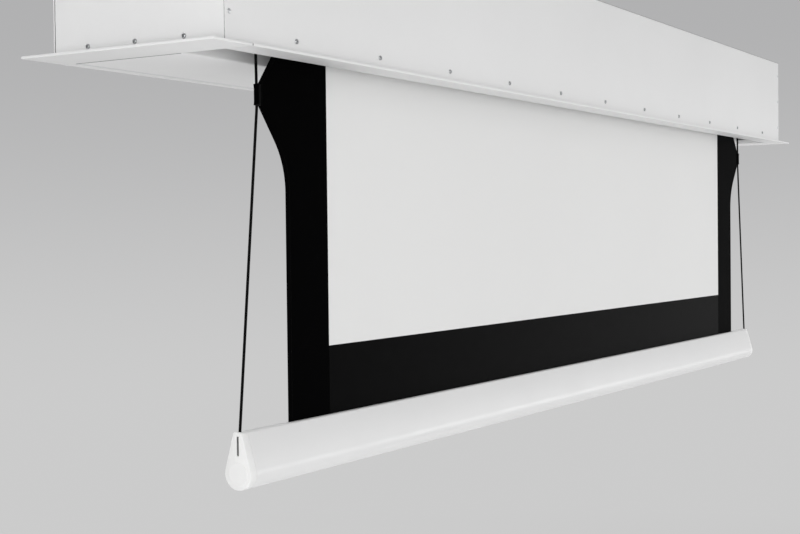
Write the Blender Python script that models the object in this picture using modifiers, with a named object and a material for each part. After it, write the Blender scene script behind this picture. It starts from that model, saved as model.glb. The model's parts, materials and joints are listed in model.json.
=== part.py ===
"""Recessed motorized projector screen with side tension cords, drawn partly lowered.

Metres. +X runs along the roller, +Y to the rear and +Z up. The origin lies on the
casing's top face, straight above the fabric's plane.
"""

from math import acos, ceil, cos, degrees, pi, radians, sin, sqrt, tan, tau

import bmesh
import bpy
from mathutils import Matrix, Vector

# Clearance between neighbours that touch on the real product
GAP = 0.0003

EDGE = 0.0006  # rounding on small moulded and cut edges
WELD = 0.000005  # points closer than this are one
CHORD_SAG = 0.00008  # how far a turned face may lie inside its true round
SMALL_ROUND = 16  # corners of a small round that is not turned
PAST = 0.012  # how far a cutting shape runs past what it cuts

# Picture and fabric
IMAGE_WIDTH = 1.600
IMAGE_HEIGHT = 0.900
SIDE_BORDER = 0.0935
BOTTOM_BORDER = 0.091
FABRIC_T = 0.0006
BAR_DROP = 0.455  # from the trim's face down to the bar's top, as photographed

# Ear on each side border, and the sleeve on its edge that holds the cord
EAR_START = 0.293  # above the bar's top
EAR_R = 0.104
EAR_LEAN = radians(38)  # of its straight edge, from upright
EAR_REACH = 0.058  # from the border's straight edge to the cord
EAR_SLEEVE = 0.026
SLEEVE_WALL = 0.0012
EAR_STEPS = 14

# Tension cord
CORD_D = 0.0036
CORD_INSET = 0.0044  # from the bar's end
CORD_DOWN = 0.020
CORD_BEND = 0.009
CORD_PITCH = 0.0042

# Weight bar, a hollow teardrop
BAR_PAST_EAR = 0.0470  # from the cord at the ear out to the bar's end
BAR_HEIGHT = 0.071
BAR_R = 0.0198
BAR_TOP = 0.0124
BAR_TOP_ROUND = 0.003
BAR_TOP_STEPS = 4
BAR_WALL = 0.0016
CAP = 0.0117
CAP_EDGE = 0.0008
SPIGOT = 0.014
SLIT_WIDTH = 0.003
SLIT_TOP = 0.005
SLIT_BOTTOM = 0.029

# Hem rod and the pocket that holds it in the bar's top
HEM_ROD_D = 0.006
HEM_DEPTH = 0.0085
HEM_SLIT = 0.0022

# Tension springs and cord anchors in the bar's ends
TENSION_TRAVEL = 0.004
ANCHOR_CLEAR = 0.002  # left between anchor and end cap at full travel
ANCHOR_LENGTH = 0.014
ANCHOR_RISE = 0.010  # above the cord's line, and as much below it
SPRING_R = 0.0058  # to the middle of the wire
SPRING_WIRE = 0.0012
SPRING_LENGTH = 0.052
SPRING_CURLS = 12
CURL_POINTS = 9
STOP_LENGTH = 0.010

# Casing, a folded steel channel that is open below
CASING_HEIGHT = 0.195
WALL = 0.0015
BEND = 0.004  # outer radius of the channel's folds
BEND_STEPS = 3
END_FLANGE = 0.014
END_ROOM = 0.0369  # between a roller bracket's foot and the casing's end

# Trim
TRIM_T = 0.003
TRIM_FRONT = -0.0755
TRIM_REAR = 0.222
SLOT_FRONT = -0.033
SLOT_REAR = 0.0315
END_PLATE = 0.071
SEAM = 0.0012
OVERLAP = 0.015  # of the trim past the casing's front and rear walls
END_OVERLAP = 0.040
WEB = 0.0017
WEB_RISE = 0.030
END_WEB_RISE = 0.023
LIP = 0.002
LIP_RISE = 0.014
END_LIP_RISE = 0.007
LIP_ROUND = 0.0025

# Service panel and its piano hinge
PANEL_RIB = 0.002
PANEL_RIB_RISE = 0.008
PANEL_RIBS = 3
HINGE_R = 0.0025
HINGE_LEAF = 0.001
HINGE_PIN_R = 0.0012
HINGE_LEAF_WIDTH = 0.016
HINGE_KNUCKLES = 13
KNUCKLE_GAP = 0.0005
CATCH_WIDTH = 0.024
CATCH_REACH = 0.026
CATCH_FOOT = 0.0156
CATCH_PAD = 0.013
CATCH_T = 0.0025
CATCH_RISE = 0.010
STRIKE_T = 0.001

# Roller
ROLLER_R = 0.035
ROLLER_WALL = 0.002
ROLLER_END = 0.025  # of bare tube past the cord's place
LAYER_GAP = 0.0005
SPARE_TURNS = 0.75
STOW_CLEARANCE = 0.008  # between the stowed bar and the roll
ROLL_STEPS = 36  # to each turn of the fabric
WINDING_STEPS = 24  # to each turn of the cord

# Motor, in the left end of the roller
MOTOR_R = 0.0225
MOTOR_LENGTH = 0.600
DRIVE_WHEEL = 0.014
DRIVE_SHAFT = 0.008
DRIVE_STEP = 0.006  # of bare shaft between the motor and its drive wheel
SHAFT_END = 0.003
CROWN = 0.016
FLANGE_T = 0.002
RUNNING = 0.001  # between the turning end and what stands still
MOTOR_HEAD_R = 0.029
MOTOR_HEAD = 0.030
HEAD_EDGE = 0.003
STUD = 0.014
STUD_LENGTH = 0.012

# Idler, in the right end
PLUG = 0.040
BEARING_R = 0.011
BEARING_WIDTH = 0.007
BEARING_RACE = 0.002
BEARING_DISH = 0.0008
PIN_R = 0.004
PIN_HEAD_R = 0.007
PIN_HEAD = 0.004
PIN_END = 0.002  # past the bearing

# Brackets
BRACKET_T = 0.003
BRACKET_WIDTH = 0.070
BRACKET_FOOT = 0.040
BRACKET_WEB = 0.060  # how far its gussets reach down
GUSSET_T = 0.0021
HANGER_T = 0.003
HANGER_WIDTH = 0.040
HANGER_TAB = 0.027
HANGER_DROP = 0.060
HANGER_WEB = 0.042
HANGER_SLOT = 0.009
HANGER_SLOT_IN = 0.017
HANGER_INSET = 0.0405  # from the casing's front and rear to a hanger's middle

# Electrical end
GLAND_BORE_R = 0.0042
GLAND_THREAD_R = 0.0080
GLAND_NUT_R = 0.0115  # across the corners
GLAND_NECK_R = 0.0096
GLAND_DOME_R = 0.0109
GLAND_TIP_R = 0.0092
GLAND_LIP = 0.0015
GLAND_REACH = 0.020
GLAND_NUT = 0.005
GLAND_Y = 0.100
GLAND_Z = -0.075
BOX_DEPTH = 0.040
BOX_WIDTH = 0.056
BOX_HEIGHT = 0.070
BOX_BACK = 0.019  # from the casing's rear
BOX_Z = -0.070
BOX_EDGE = 0.003
BOX_LID = 0.012
BOX_SEAM = 0.001
BOX_SEAM_DEPTH = 0.0006
LEAD_D = 0.006
LEAD_BEND = 0.036
LEAD_SAG = 0.006
LEAD_STEPS = 12

# Sizes worked out from the ones above
IMAGE_HALF = IMAGE_WIDTH / 2
FABRIC_HALF = IMAGE_HALF + SIDE_BORDER
CORD_EAR_X = FABRIC_HALF + EAR_REACH
BAR_HALF = CORD_EAR_X + BAR_PAST_EAR
CORD_BAR_X = BAR_HALF - CORD_INSET
CORD_R = CORD_D / 2
SLEEVE_IN = CORD_EAR_X - CORD_R - GAP - SLEEVE_WALL / 2
TRIM_Z = -(CASING_HEIGHT + TRIM_T)
BAR_Z = TRIM_Z - BAR_DROP
EAR_ARC_OUT = EAR_R * (1 - cos(EAR_LEAN))
EAR_EDGE_RISE = (SLEEVE_IN - FABRIC_HALF - EAR_ARC_OUT) / tan(EAR_LEAN)
EAR_HALF = EAR_R * sin(EAR_LEAN) + EAR_EDGE_RISE
SLEEVE_LOW = BAR_Z + EAR_START + EAR_HALF
LAYER = FABRIC_T + LAYER_GAP
WOUND_LENGTH = IMAGE_HEIGHT + BOTTOM_BORDER - BAR_DROP
TURNS = WOUND_LENGTH / (tau * ROLLER_R) + SPARE_TURNS
WRAP_R = ROLLER_R + GAP + FABRIC_T / 2 + LAYER * TURNS
ROLLER_Y = WRAP_R
ROLLER_Z = TRIM_Z + BAR_HEIGHT + STOW_CLEARANCE + WRAP_R + FABRIC_T / 2
ROLLER_HALF = CORD_EAR_X + ROLLER_END
FABRIC_TOP = ROLLER_Z - GAP
CORD_WRAP_R = ROLLER_R + GAP + CORD_R
HEAD_IN = ROLLER_HALF + FLANGE_T + GAP + RUNNING
BRACKET_NEAR = HEAD_IN + MOTOR_HEAD + GAP
CASING_FRONT = TRIM_FRONT + OVERLAP
CASING_REAR = TRIM_REAR - OVERLAP
CASING_HALF = BRACKET_NEAR + BRACKET_FOOT + END_ROOM
TRIM_HALF = CASING_HALF + END_OVERLAP
SEAM_X = TRIM_HALF - END_PLATE
HINGE_Y = CASING_REAR - WALL - 2 * GAP - WEB - HINGE_R
HINGE_Z = TRIM_Z + HINGE_R
PANEL_HALF = SEAM_X - SEAM - LIP / 2
SPRING_Z = BAR_Z - CORD_DOWN - CORD_BEND
SPIGOT_END = BAR_HALF - CAP - SPIGOT
ANCHOR_OUT = SPIGOT_END - TENSION_TRAVEL - ANCHOR_CLEAR
ANCHOR_IN = ANCHOR_OUT - ANCHOR_LENGTH
STOP_OUT = ANCHOR_IN - SPRING_LENGTH
HEM_POCKET_R = HEM_ROD_D / 2 + FABRIC_T + GAP
BORE_R = ROLLER_R - ROLLER_WALL
BOX_Y = CASING_REAR - BOX_BACK - BOX_WIDTH / 2
BOX_FACE = CASING_HALF - WALL - GAP

SIDES = (("left", -1), ("right", 1))
HANGER_PLACES = (
    ("front", CASING_FRONT + HANGER_INSET),
    ("rear", CASING_REAR - HANGER_INSET),
)

# Local x, y and z of a profile that is laid out square to each world axis
FRAMES = {
    "X": Matrix(((0, 0, 1, 0), (1, 0, 0, 0), (0, 1, 0, 0), (0, 0, 0, 1))),
    "Y": Matrix(((1, 0, 0, 0), (0, 0, -1, 0), (0, 1, 0, 0), (0, 0, 0, 1))),
    "Z": Matrix.Identity(4),
}

# Colour, roughness and metallic value of each material
FINISHES = {
    "white_fabric": ((0.78, 0.78, 0.77), 0.85, 0.0),
    "black_fabric": ((0.012, 0.012, 0.013), 0.8, 0.0),
    "cord_black": ((0.015, 0.015, 0.015), 0.7, 0.0),
    "white_paint": ((0.80, 0.80, 0.80), 0.45, 0.0),
    "white_plastic": ((0.84, 0.84, 0.83), 0.4, 0.0),
    "galvanised": ((0.55, 0.57, 0.58), 0.45, 0.9),
    "aluminium": ((0.70, 0.71, 0.72), 0.35, 1.0),
    "steel": ((0.50, 0.51, 0.52), 0.3, 1.0),
    "black_plastic": ((0.03, 0.03, 0.03), 0.5, 0.0),
    "grey_plastic": ((0.35, 0.36, 0.37), 0.5, 0.0),
}


def clear_scene():
    for obj in list(bpy.data.objects):
        bpy.data.objects.remove(obj, do_unlink=True)


def new_collection(name):
    made = bpy.data.collections.new(name)
    bpy.context.scene.collection.children.link(made)
    return made


def make_materials():
    made = {}
    for name, (colour, roughness, metallic) in FINISHES.items():
        mat = bpy.data.materials.new(name)
        mat.use_nodes = True
        shader = mat.node_tree.nodes["Principled BSDF"]
        shader.inputs["Base Color"].default_value = (*colour, 1.0)
        shader.inputs["Roughness"].default_value = roughness
        shader.inputs["Metallic"].default_value = metallic
        mat.diffuse_color = (*colour, 1.0)
        made[name] = mat
    return made


def empty(name, at):
    obj = bpy.data.objects.new(name, None)
    obj.empty_display_size = 0.05
    PARTS.objects.link(obj)
    obj.location = at
    return obj


def finish(obj, name, finish_name, carrier):
    """Names a part, gives it its own material and hangs it on its carrier."""
    obj.name = name
    obj.data.name = name
    mat = MATERIALS[finish_name].copy()
    mat.name = name
    obj.data.materials.clear()
    obj.data.materials.append(mat)
    if obj.name not in PARTS.objects:
        PARTS.objects.link(obj)
    if carrier is not None:
        obj.parent = carrier
        obj.matrix_parent_inverse = Matrix.Translation(carrier.location).inverted()
    return obj


def in_frame(obj, axis, at):
    obj.matrix_world = Matrix.Translation(at) @ FRAMES[axis]
    return obj


def prism(outlines, low, high, axis):
    """Flat outlines, the second and later ones holes, given depth along an axis."""
    data = bpy.data.curves.new("outline", "CURVE")
    data.dimensions = "2D"
    data.fill_mode = "BOTH"
    data.extrude = (high - low) / 2
    for points in outlines:
        spline = data.splines.new("POLY")
        spline.points.add(len(points) - 1)
        for place, (u, v) in zip(spline.points, points):
            place.co = (u, v, 0, 1)
        spline.use_cyclic_u = True
    middle = (low + high) / 2
    at = {"X": (middle, 0, 0), "Y": (0, middle, 0), "Z": (0, 0, middle)}[axis]
    return in_frame(bpy.data.objects.new("outline", data), axis, at)


def tube(points, radius, resolution=2):
    """A round rod along a list of points, with closed ends."""
    data = bpy.data.curves.new("tube", "CURVE")
    data.dimensions = "3D"
    data.bevel_depth = radius
    data.bevel_resolution = resolution
    data.use_fill_caps = True
    spline = data.splines.new("POLY")
    spline.points.add(len(points) - 1)
    for place, point in zip(spline.points, points):
        place.co = (*point, 1)
    return bpy.data.objects.new("tube", data)


def as_mesh(curve):
    """The welded mesh of a curve object, in the curve's place."""
    PARTS.objects.link(curve)
    bpy.context.view_layer.update()
    graph = bpy.context.evaluated_depsgraph_get()
    mesh = bpy.data.meshes.new_from_object(curve.evaluated_get(graph))
    bm = bmesh.new()
    bm.from_mesh(mesh)
    bmesh.ops.remove_doubles(bm, verts=bm.verts, dist=WELD)
    bm.to_mesh(mesh)
    bm.free()
    obj = bpy.data.objects.new("mesh", mesh)
    obj.matrix_world = curve.matrix_world.copy()
    bpy.data.objects.remove(curve, do_unlink=True)
    return obj


def box(low, high, open_sides=()):
    """A box between two corners, without the faces that look along open_sides."""
    low, high = Vector(low), Vector(high)
    bm = bmesh.new()
    bmesh.ops.create_cube(bm, size=1.0)
    bmesh.ops.scale(bm, vec=high - low, verts=bm.verts)
    bmesh.ops.translate(bm, vec=(high + low) / 2, verts=bm.verts)
    bm.normal_update()
    gone = [f for f in bm.faces if any(f.normal.dot(Vector(s)) > 0.9 for s in open_sides)]
    bmesh.ops.delete(bm, geom=gone, context="FACES")
    mesh = bpy.data.meshes.new("box")
    bm.to_mesh(mesh)
    bm.free()
    return bpy.data.objects.new("box", mesh)


def turned(profile, axis="X", at=(0, 0, 0), ring=True):
    """A profile of (radius, place along the axis), turned about that axis.

    It runs down its outer side. A ring's profile closes on itself. The faces round
    the axis come in eights, as many as keep its widest round true.
    """
    mesh = bpy.data.meshes.new("turned")
    edges = [(i, i + 1) for i in range(len(profile) - 1)]
    if ring:
        edges.append((len(profile) - 1, 0))
    mesh.from_pydata([(r, 0, h) for r, h in profile], edges, [])
    obj = in_frame(bpy.data.objects.new("turned", mesh), axis, at)
    widest = max(r for r, _ in profile)
    screw = obj.modifiers.new("turn", "SCREW")
    screw.steps = 8 * ceil(pi * sqrt(widest / (2 * CHORD_SAG)) / 8)
    screw.render_steps = screw.steps
    screw.use_merge_vertices = True
    screw.merge_threshold = WELD
    return obj


def on_side(profile, side):
    """A profile for the right end, as it runs on the given side."""
    if side > 0:
        return profile
    return [(r, -h) for r, h in reversed(profile)]


def span(side, inner, outer):
    """Low and high X of a stretch between two distances from the middle."""
    return (inner, outer) if side > 0 else (-outer, -inner)


def solidify(obj, thickness, offset=-1.0):
    shell = obj.modifiers.new("wall", "SOLIDIFY")
    shell.thickness = thickness
    shell.offset = offset
    shell.use_even_offset = True
    return obj


def bevel(obj, width, segments=2):
    edge = obj.modifiers.new("edge", "BEVEL")
    edge.width = width
    edge.segments = segments
    edge.limit_method = "ANGLE"
    edge.angle_limit = radians(40)
    return obj


def boolean(obj, other, operation):
    """Cuts or joins by another object, which becomes a hidden guide."""
    if other.name not in CUTTERS.objects:
        CUTTERS.objects.link(other)
    other.hide_render = True
    other.display_type = "WIRE"
    step = obj.modifiers.new(operation.lower(), "BOOLEAN")
    step.operation = operation
    step.object = other
    return obj


def cut(obj, other):
    return boolean(obj, other, "DIFFERENCE")


def join(obj, other):
    return boolean(obj, other, "UNION")


def arc(centre, radius, start, end, steps):
    """Points on a round stretch, with the angles in degrees."""
    u, v = centre
    for i in range(steps + 1):
        angle = radians(start + (end - start) * i / steps)
        yield (u + radius * cos(angle), v + radius * sin(angle))


def circle(centre, radius, corners):
    return list(arc(centre, radius, 0, 360 - 360 / corners, corners - 1))


def rectangle(u0, u1, v0, v1):
    return [(u0, v0), (u1, v0), (u1, v1), (u0, v1)]


def mirrored(outline, side):
    """An outline for the right end, as it lies on the given side."""
    return [(side * u, v) for u, v in outline]


# The weight bar's section


def bar_tangent():
    """The angle on the bar's round below which the flank leaves it."""
    rise = BAR_HEIGHT - BAR_R
    reach = BAR_TOP / 2
    far = sqrt(rise * rise + reach * reach)
    return acos(reach / far) - acos(BAR_R / far)


def flank(depth, inset=0.0):
    """Half the bar's width on its flank at a depth below the top."""
    angle = bar_tangent()
    touch = BAR_R * cos(angle)
    low = BAR_HEIGHT - BAR_R - BAR_R * sin(angle)
    half = BAR_TOP / 2
    return half + (touch - half) * depth / low - inset / cos(angle)


def teardrop(top, inset=0.0):
    """The bar's outline, inset all round, with its flat top at a depth."""
    angle = degrees(bar_tangent())
    centre = BAR_HEIGHT - BAR_R
    half = flank(top, inset)
    lower = arc((0, BAR_Z - centre), BAR_R - inset, 180 - angle, 360 + angle, 22)
    return [(half, BAR_Z - top), (-half, BAR_Z - top), *lower]


def rounded_teardrop():
    """The bar's outside, from its right top corner and round past the left one."""
    angle = degrees(bar_tangent())
    along = BAR_TOP_ROUND / tan(radians(90 + angle) / 2)
    centre = BAR_TOP / 2 - along, BAR_Z - BAR_TOP_ROUND
    right = list(arc(centre, BAR_TOP_ROUND, angle, 90, BAR_TOP_STEPS))
    left = [(-y, z) for y, z in reversed(right)]
    return [*right, *left, *teardrop(0)[2:]]


def bar_outline():
    """The section from the slit's right edge, clockwise round the outside, and in."""
    slit = HEM_SLIT / 2
    lean = degrees(acos(slit / HEM_POCKET_R))
    centre = (0, BAR_Z - HEM_DEPTH)
    pocket = list(arc(centre, HEM_POCKET_R, 180 - lean, 360 + lean, 14))
    outside = rounded_teardrop()
    corner = BAR_TOP_STEPS + 1
    left, right = outside[corner:], outside[:corner]
    return [(-slit, BAR_Z), *left, *right, (slit, BAR_Z), *reversed(pocket)]


def make_weight_bar(carrier):
    hollow_top = HEM_DEPTH + HEM_POCKET_R + BAR_WALL
    end = BAR_HALF - CAP - GAP
    bar = prism([bar_outline(), teardrop(hollow_top, BAR_WALL)], -end, end, "X")
    finish(bar, "weight_bar_extrusion", "white_paint", carrier)

    rod_top = BAR_Z - HEM_DEPTH
    rod_ends = ((-FABRIC_HALF, 0, rod_top), (FABRIC_HALF, 0, rod_top))
    finish(tube(rod_ends, HEM_ROD_D / 2, 3), "hem_rod", "aluminium", carrier)

    for side_name, side in SIDES:
        make_end_cap(side_name, side, hollow_top, carrier)
        make_tensioner(side_name, side, carrier)


def cord_in_bar(side, end_x):
    """The cord's route from the bar's top, down and round into the hollow."""
    turn = BAR_Z - CORD_DOWN
    bend = [
        (side * x, 0, z)
        for x, z in arc((CORD_BAR_X - CORD_BEND, turn), CORD_BEND, 0, -90, 6)
    ]
    return [(side * CORD_BAR_X, 0, BAR_Z - CORD_D), *bend, (side * end_x, 0, SPRING_Z)]


def make_end_cap(side_name, side, hollow_top, carrier):
    outer = span(side, BAR_HALF - CAP, BAR_HALF)
    cap = bevel(as_mesh(prism([rounded_teardrop()], *outer, "X")), CAP_EDGE)
    inner = span(side, SPIGOT_END, BAR_HALF - CAP + CAP_EDGE + GAP)
    plug = as_mesh(prism([teardrop(hollow_top + GAP, BAR_WALL + GAP)], *inner, "X"))
    join(cap, plug)

    lean = (CORD_BAR_X - CORD_EAR_X) / (SLEEVE_LOW - BAR_Z)
    start = (side * (CORD_BAR_X - lean * (PAST + CORD_D)), 0, BAR_Z + PAST)
    route = [start, *cord_in_bar(side, SPIGOT_END - PAST)]
    cut(cap, as_mesh(tube(route, CORD_R + GAP, 2)))

    slit = SLIT_WIDTH / 2
    reach = span(side, CORD_BAR_X, BAR_HALF + CAP)
    low, high = BAR_Z - SLIT_BOTTOM, BAR_Z - SLIT_TOP
    cut(cap, box((reach[0], -slit, low), (reach[1], slit, high)))
    finish(cap, f"bar_end_cap_{side_name}", "white_plastic", carrier)


def slider_outline(inset):
    """A block that fits between the bar's flanks, about the cord's line."""
    top = BAR_Z - SPRING_Z - ANCHOR_RISE
    low = BAR_Z - SPRING_Z + ANCHOR_RISE
    wide, narrow = flank(low, inset), flank(top, inset)
    return [(-wide, BAR_Z - low), (wide, BAR_Z - low), (narrow, BAR_Z - top), (-narrow, BAR_Z - top)]


def make_tensioner(side_name, side, carrier):
    section = slider_outline(BAR_WALL + GAP)
    anchor = as_mesh(prism([section], *span(side, ANCHOR_IN, ANCHOR_OUT), "X"))
    travel = empty(f"tensioner_{side_name}", (side * ANCHOR_OUT, 0, SPRING_Z))
    travel.parent = carrier
    travel.matrix_parent_inverse = Matrix.Translation(carrier.location).inverted()
    finish(bevel(anchor, EDGE), f"cord_anchor_{side_name}", "black_plastic", None)
    anchor.parent = travel
    anchor.matrix_parent_inverse = Matrix.Translation(travel.location).inverted()

    stop = prism([section], *span(side, STOP_OUT - STOP_LENGTH, STOP_OUT), "X")
    finish(stop, f"spring_stop_{side_name}", "black_plastic", carrier)

    points = spring_points(side)
    print("least gap in tension spring, mm:", round(least_gap(points, SPRING_WIRE) * 1000, 2))
    spring = tube(points, SPRING_WIRE / 2, 1)
    finish(spring, f"tension_spring_{side_name}", "steel", carrier)


def spring_points(side):
    """The wire's middle, with a straight end square to the anchor and the stop."""
    outer, inner = ANCHOR_IN - GAP, STOP_OUT + GAP
    steps = SPRING_CURLS * CURL_POINTS
    length = outer - inner - 2 * SPRING_WIRE
    points = [(side * outer, SPRING_R, SPRING_Z)]
    for i in range(steps + 1):
        angle = tau * SPRING_CURLS * i / steps
        x = outer - SPRING_WIRE - length * i / steps
        points.append((side * x, SPRING_R * cos(angle), SPRING_Z + SPRING_R * sin(angle)))
    points.append((side * inner, points[-1][1], points[-1][2]))
    return points


def least_gap(points, diameter):
    """The least clear distance between turns of one wound tube."""
    spots = [Vector(p) for p in points]
    along = [0.0]
    for a, b in zip(spots, spots[1:]):
        along.append(along[-1] + (b - a).length)
    best = 1.0
    for i, a in enumerate(spots):
        for j in range(i + 1, len(spots)):
            if along[j] - along[i] > 4 * diameter:
                best = min(best, (spots[j] - a).length - diameter)
    return best


# Fabric and cords


def ear_edge():
    """The outer edge of a side border, from the bar up to the roll."""
    lean = degrees(EAR_LEAN)
    centre = FABRIC_HALF + EAR_R
    lower = arc((centre, BAR_Z + EAR_START), EAR_R, 180, 180 - lean, EAR_STEPS)
    tip = [(SLEEVE_IN, SLEEVE_LOW), (SLEEVE_IN, SLEEVE_LOW + EAR_SLEEVE)]
    upper = arc((centre, tip[1][1] + EAR_HALF), EAR_R, 180 + lean, 180, EAR_STEPS)
    return [p for p in [*lower, *tip, *upper] if p[1] < FABRIC_TOP - GAP]


def sheet(outline, side=1):
    half = FABRIC_T / 2
    return prism([mirrored(outline, side)], -half, half, "Y")


def make_fabric(carrier):
    low = BAR_Z - HEM_DEPTH + HEM_ROD_D / 2 + GAP
    seam = BAR_Z + BOTTOM_BORDER
    inside = IMAGE_HALF - GAP / 2
    white = rectangle(-inside, inside, seam + GAP / 2, FABRIC_TOP)
    finish(sheet(white), "viewing_fabric", "white_fabric", carrier)
    black = rectangle(-inside, inside, low, seam - GAP / 2)
    finish(sheet(black), "bottom_border", "black_fabric", carrier)

    outline = [(FABRIC_HALF, low), *ear_edge(), (FABRIC_HALF, FABRIC_TOP)]
    outline += [(IMAGE_HALF + GAP / 2, FABRIC_TOP), (IMAGE_HALF + GAP / 2, low)]
    bore = CORD_R + GAP
    ring = [
        (bore + SLEEVE_WALL, SLEEVE_LOW + EAR_SLEEVE),
        (bore + SLEEVE_WALL, SLEEVE_LOW),
        (bore, SLEEVE_LOW),
        (bore, SLEEVE_LOW + EAR_SLEEVE),
    ]
    for side_name, side in SIDES:
        border = as_mesh(sheet(outline, side))
        join(border, turned(ring, "Z", (side * CORD_EAR_X, 0, 0)))
        finish(border, f"side_border_{side_name}", "black_fabric", carrier)
        make_cord(side_name, side, carrier)


def make_cord(side_name, side, carrier):
    top = (side * CORD_EAR_X, ROLLER_Y - CORD_WRAP_R, ROLLER_Z - CORD_D - GAP)
    points = [
        top,
        (side * CORD_EAR_X, 0, SLEEVE_LOW + EAR_SLEEVE + CORD_D),
        (side * CORD_EAR_X, 0, SLEEVE_LOW - CORD_D),
        *cord_in_bar(side, ANCHOR_OUT + GAP),
    ]
    finish(tube(points, CORD_R, 2), f"tension_cord_{side_name}", "cord_black", carrier)


# Roller


def make_roller(carrier):
    along = (0, ROLLER_Y, ROLLER_Z)
    wall = [
        (ROLLER_R, ROLLER_HALF),
        (ROLLER_R, -ROLLER_HALF),
        (BORE_R, -ROLLER_HALF),
        (BORE_R, ROLLER_HALF),
    ]
    finish(turned(wall, "X", along), "roller_tube", "aluminium", carrier)
    finish(wound_fabric(), "fabric_roll", "white_fabric", carrier)
    for side_name, side in SIDES:
        points = winding_points(side)
        gap = round(least_gap(points, CORD_D) * 1000, 2)
        print("least gap in cord winding, mm:", gap)
        coil = tube(points, CORD_R, 1)
        finish(coil, f"cord_winding_{side_name}", "cord_black", carrier)

    shoulder = ROLLER_R - GAP
    fit = BORE_R - GAP
    shaft = DRIVE_SHAFT
    wheel_in = ROLLER_HALF - MOTOR_LENGTH
    wheel = [
        (fit, -wheel_in + DRIVE_WHEEL),
        (fit, -wheel_in),
        (shaft + GAP, -wheel_in),
        (shaft + GAP, -wheel_in + DRIVE_WHEEL),
    ]
    finish(turned(wheel, "X", along), "drive_wheel", "grey_plastic", carrier)

    face = ROLLER_HALF + GAP
    crown = [
        (shoulder, face + FLANGE_T),
        (shoulder, face),
        (fit, face),
        (fit, face - CROWN),
        (MOTOR_R + RUNNING, face - CROWN),
        (MOTOR_R + RUNNING, face + FLANGE_T),
    ]
    finish(turned(on_side(crown, -1), "X", along), "limit_crown", "black_plastic", carrier)

    seat = face + FLANGE_T - BEARING_WIDTH
    plug = [
        (shoulder, face + FLANGE_T),
        (shoulder, face),
        (fit, face),
        (fit, face - PLUG),
        (PIN_R + BEARING_RACE, face - PLUG),
        (PIN_R + BEARING_RACE, seat - GAP),
        (BEARING_R + GAP, seat - GAP),
        (BEARING_R + GAP, face + FLANGE_T),
    ]
    finish(turned(plug, "X", along), "idler_plug", "black_plastic", carrier)
    finish(bearing(seat, along), "idler_bearing", "steel", carrier)


def bearing(seat, along):
    """A ball bearing's rings and shields as one turned piece."""
    out, mid, end = BEARING_R, BEARING_RACE, seat + BEARING_WIDTH
    bore = PIN_R + GAP
    profile = [
        (out, end),
        (out, seat),
        (out - mid, seat),
        (out - mid, seat + BEARING_DISH),
        (bore + mid, seat + BEARING_DISH),
        (bore + mid, seat),
        (bore, seat),
        (bore, end),
        (bore + mid, end),
        (bore + mid, end - BEARING_DISH),
        (out - mid, end - BEARING_DISH),
        (out - mid, end),
    ]
    return turned(profile, "X", along)


def wound_fabric():
    """The fabric still on the roller: one ribbon, whose outer end hangs straight."""
    steps = ceil(TURNS * ROLL_STEPS)
    bm = bmesh.new()
    rows = []
    for i in range(steps + 1):
        angle = tau * TURNS * i / steps
        r = WRAP_R - LAYER * TURNS * i / steps
        y, z = ROLLER_Y - r * cos(angle), ROLLER_Z + r * sin(angle)
        rows.append([bm.verts.new((x, y, z)) for x in (-FABRIC_HALF, FABRIC_HALF)])
    for (a, b), (c, d) in zip(rows, rows[1:]):
        bm.faces.new((a, b, d, c))
    mesh = bpy.data.meshes.new("wound")
    bm.to_mesh(mesh)
    bm.free()
    return solidify(bpy.data.objects.new("wound", mesh), FABRIC_T, 0.0)


def winding_points(side):
    """The cord on the tube's end, with a straight end down to the hanging cord."""
    steps = ceil(TURNS * WINDING_STEPS)
    front = ROLLER_Y - CORD_WRAP_R
    points = [(side * CORD_EAR_X, front, ROLLER_Z - CORD_D)]
    for i in range(steps + 1):
        angle = tau * TURNS * i / steps
        x = CORD_EAR_X + CORD_PITCH * TURNS * i / steps
        y = ROLLER_Y - CORD_WRAP_R * cos(angle)
        points.append((side * x, y, ROLLER_Z + CORD_WRAP_R * sin(angle)))
    _, y, z = points[-1]
    end = tau * TURNS
    points.append((points[-1][0], y + CORD_D * sin(end), z + CORD_D * cos(end)))
    return points


# What stands still at the roller's ends


def angle_piece(side, near, foot, top, low, thick, web_low, front, rear):
    """A folded angle with its foot outward at the top, and a gusset at each edge."""
    inner, skin, toe, sunk = near + thick, top - thick, near + foot, thick / 2
    outline = [(near, low), (inner, low), (inner, skin), (toe, skin), (toe, top), (near, top)]
    made = as_mesh(prism([mirrored(outline, side)], front, rear, "Y"))
    web = [
        (near + sunk, top - sunk),
        (toe, top - sunk),
        (toe, skin - sunk),
        (inner + sunk, web_low),
        (near + sunk, web_low),
    ]
    for y in (front, rear - GUSSET_T):
        join(made, as_mesh(prism([mirrored(web, side)], y, y + GUSSET_T, "Y")))
    return made


def bracket(side, hole):
    """What carries one end of the roller, under the casing's top."""
    top = -WALL - GAP
    low = ROLLER_Z - ROLLER_R
    y = ROLLER_Y - BRACKET_WIDTH / 2, ROLLER_Y + BRACKET_WIDTH / 2
    web_low = top - BRACKET_WEB
    made = angle_piece(side, BRACKET_NEAR, BRACKET_FOOT, top, low, BRACKET_T, web_low, *y)
    return cut(made, hole)


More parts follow.
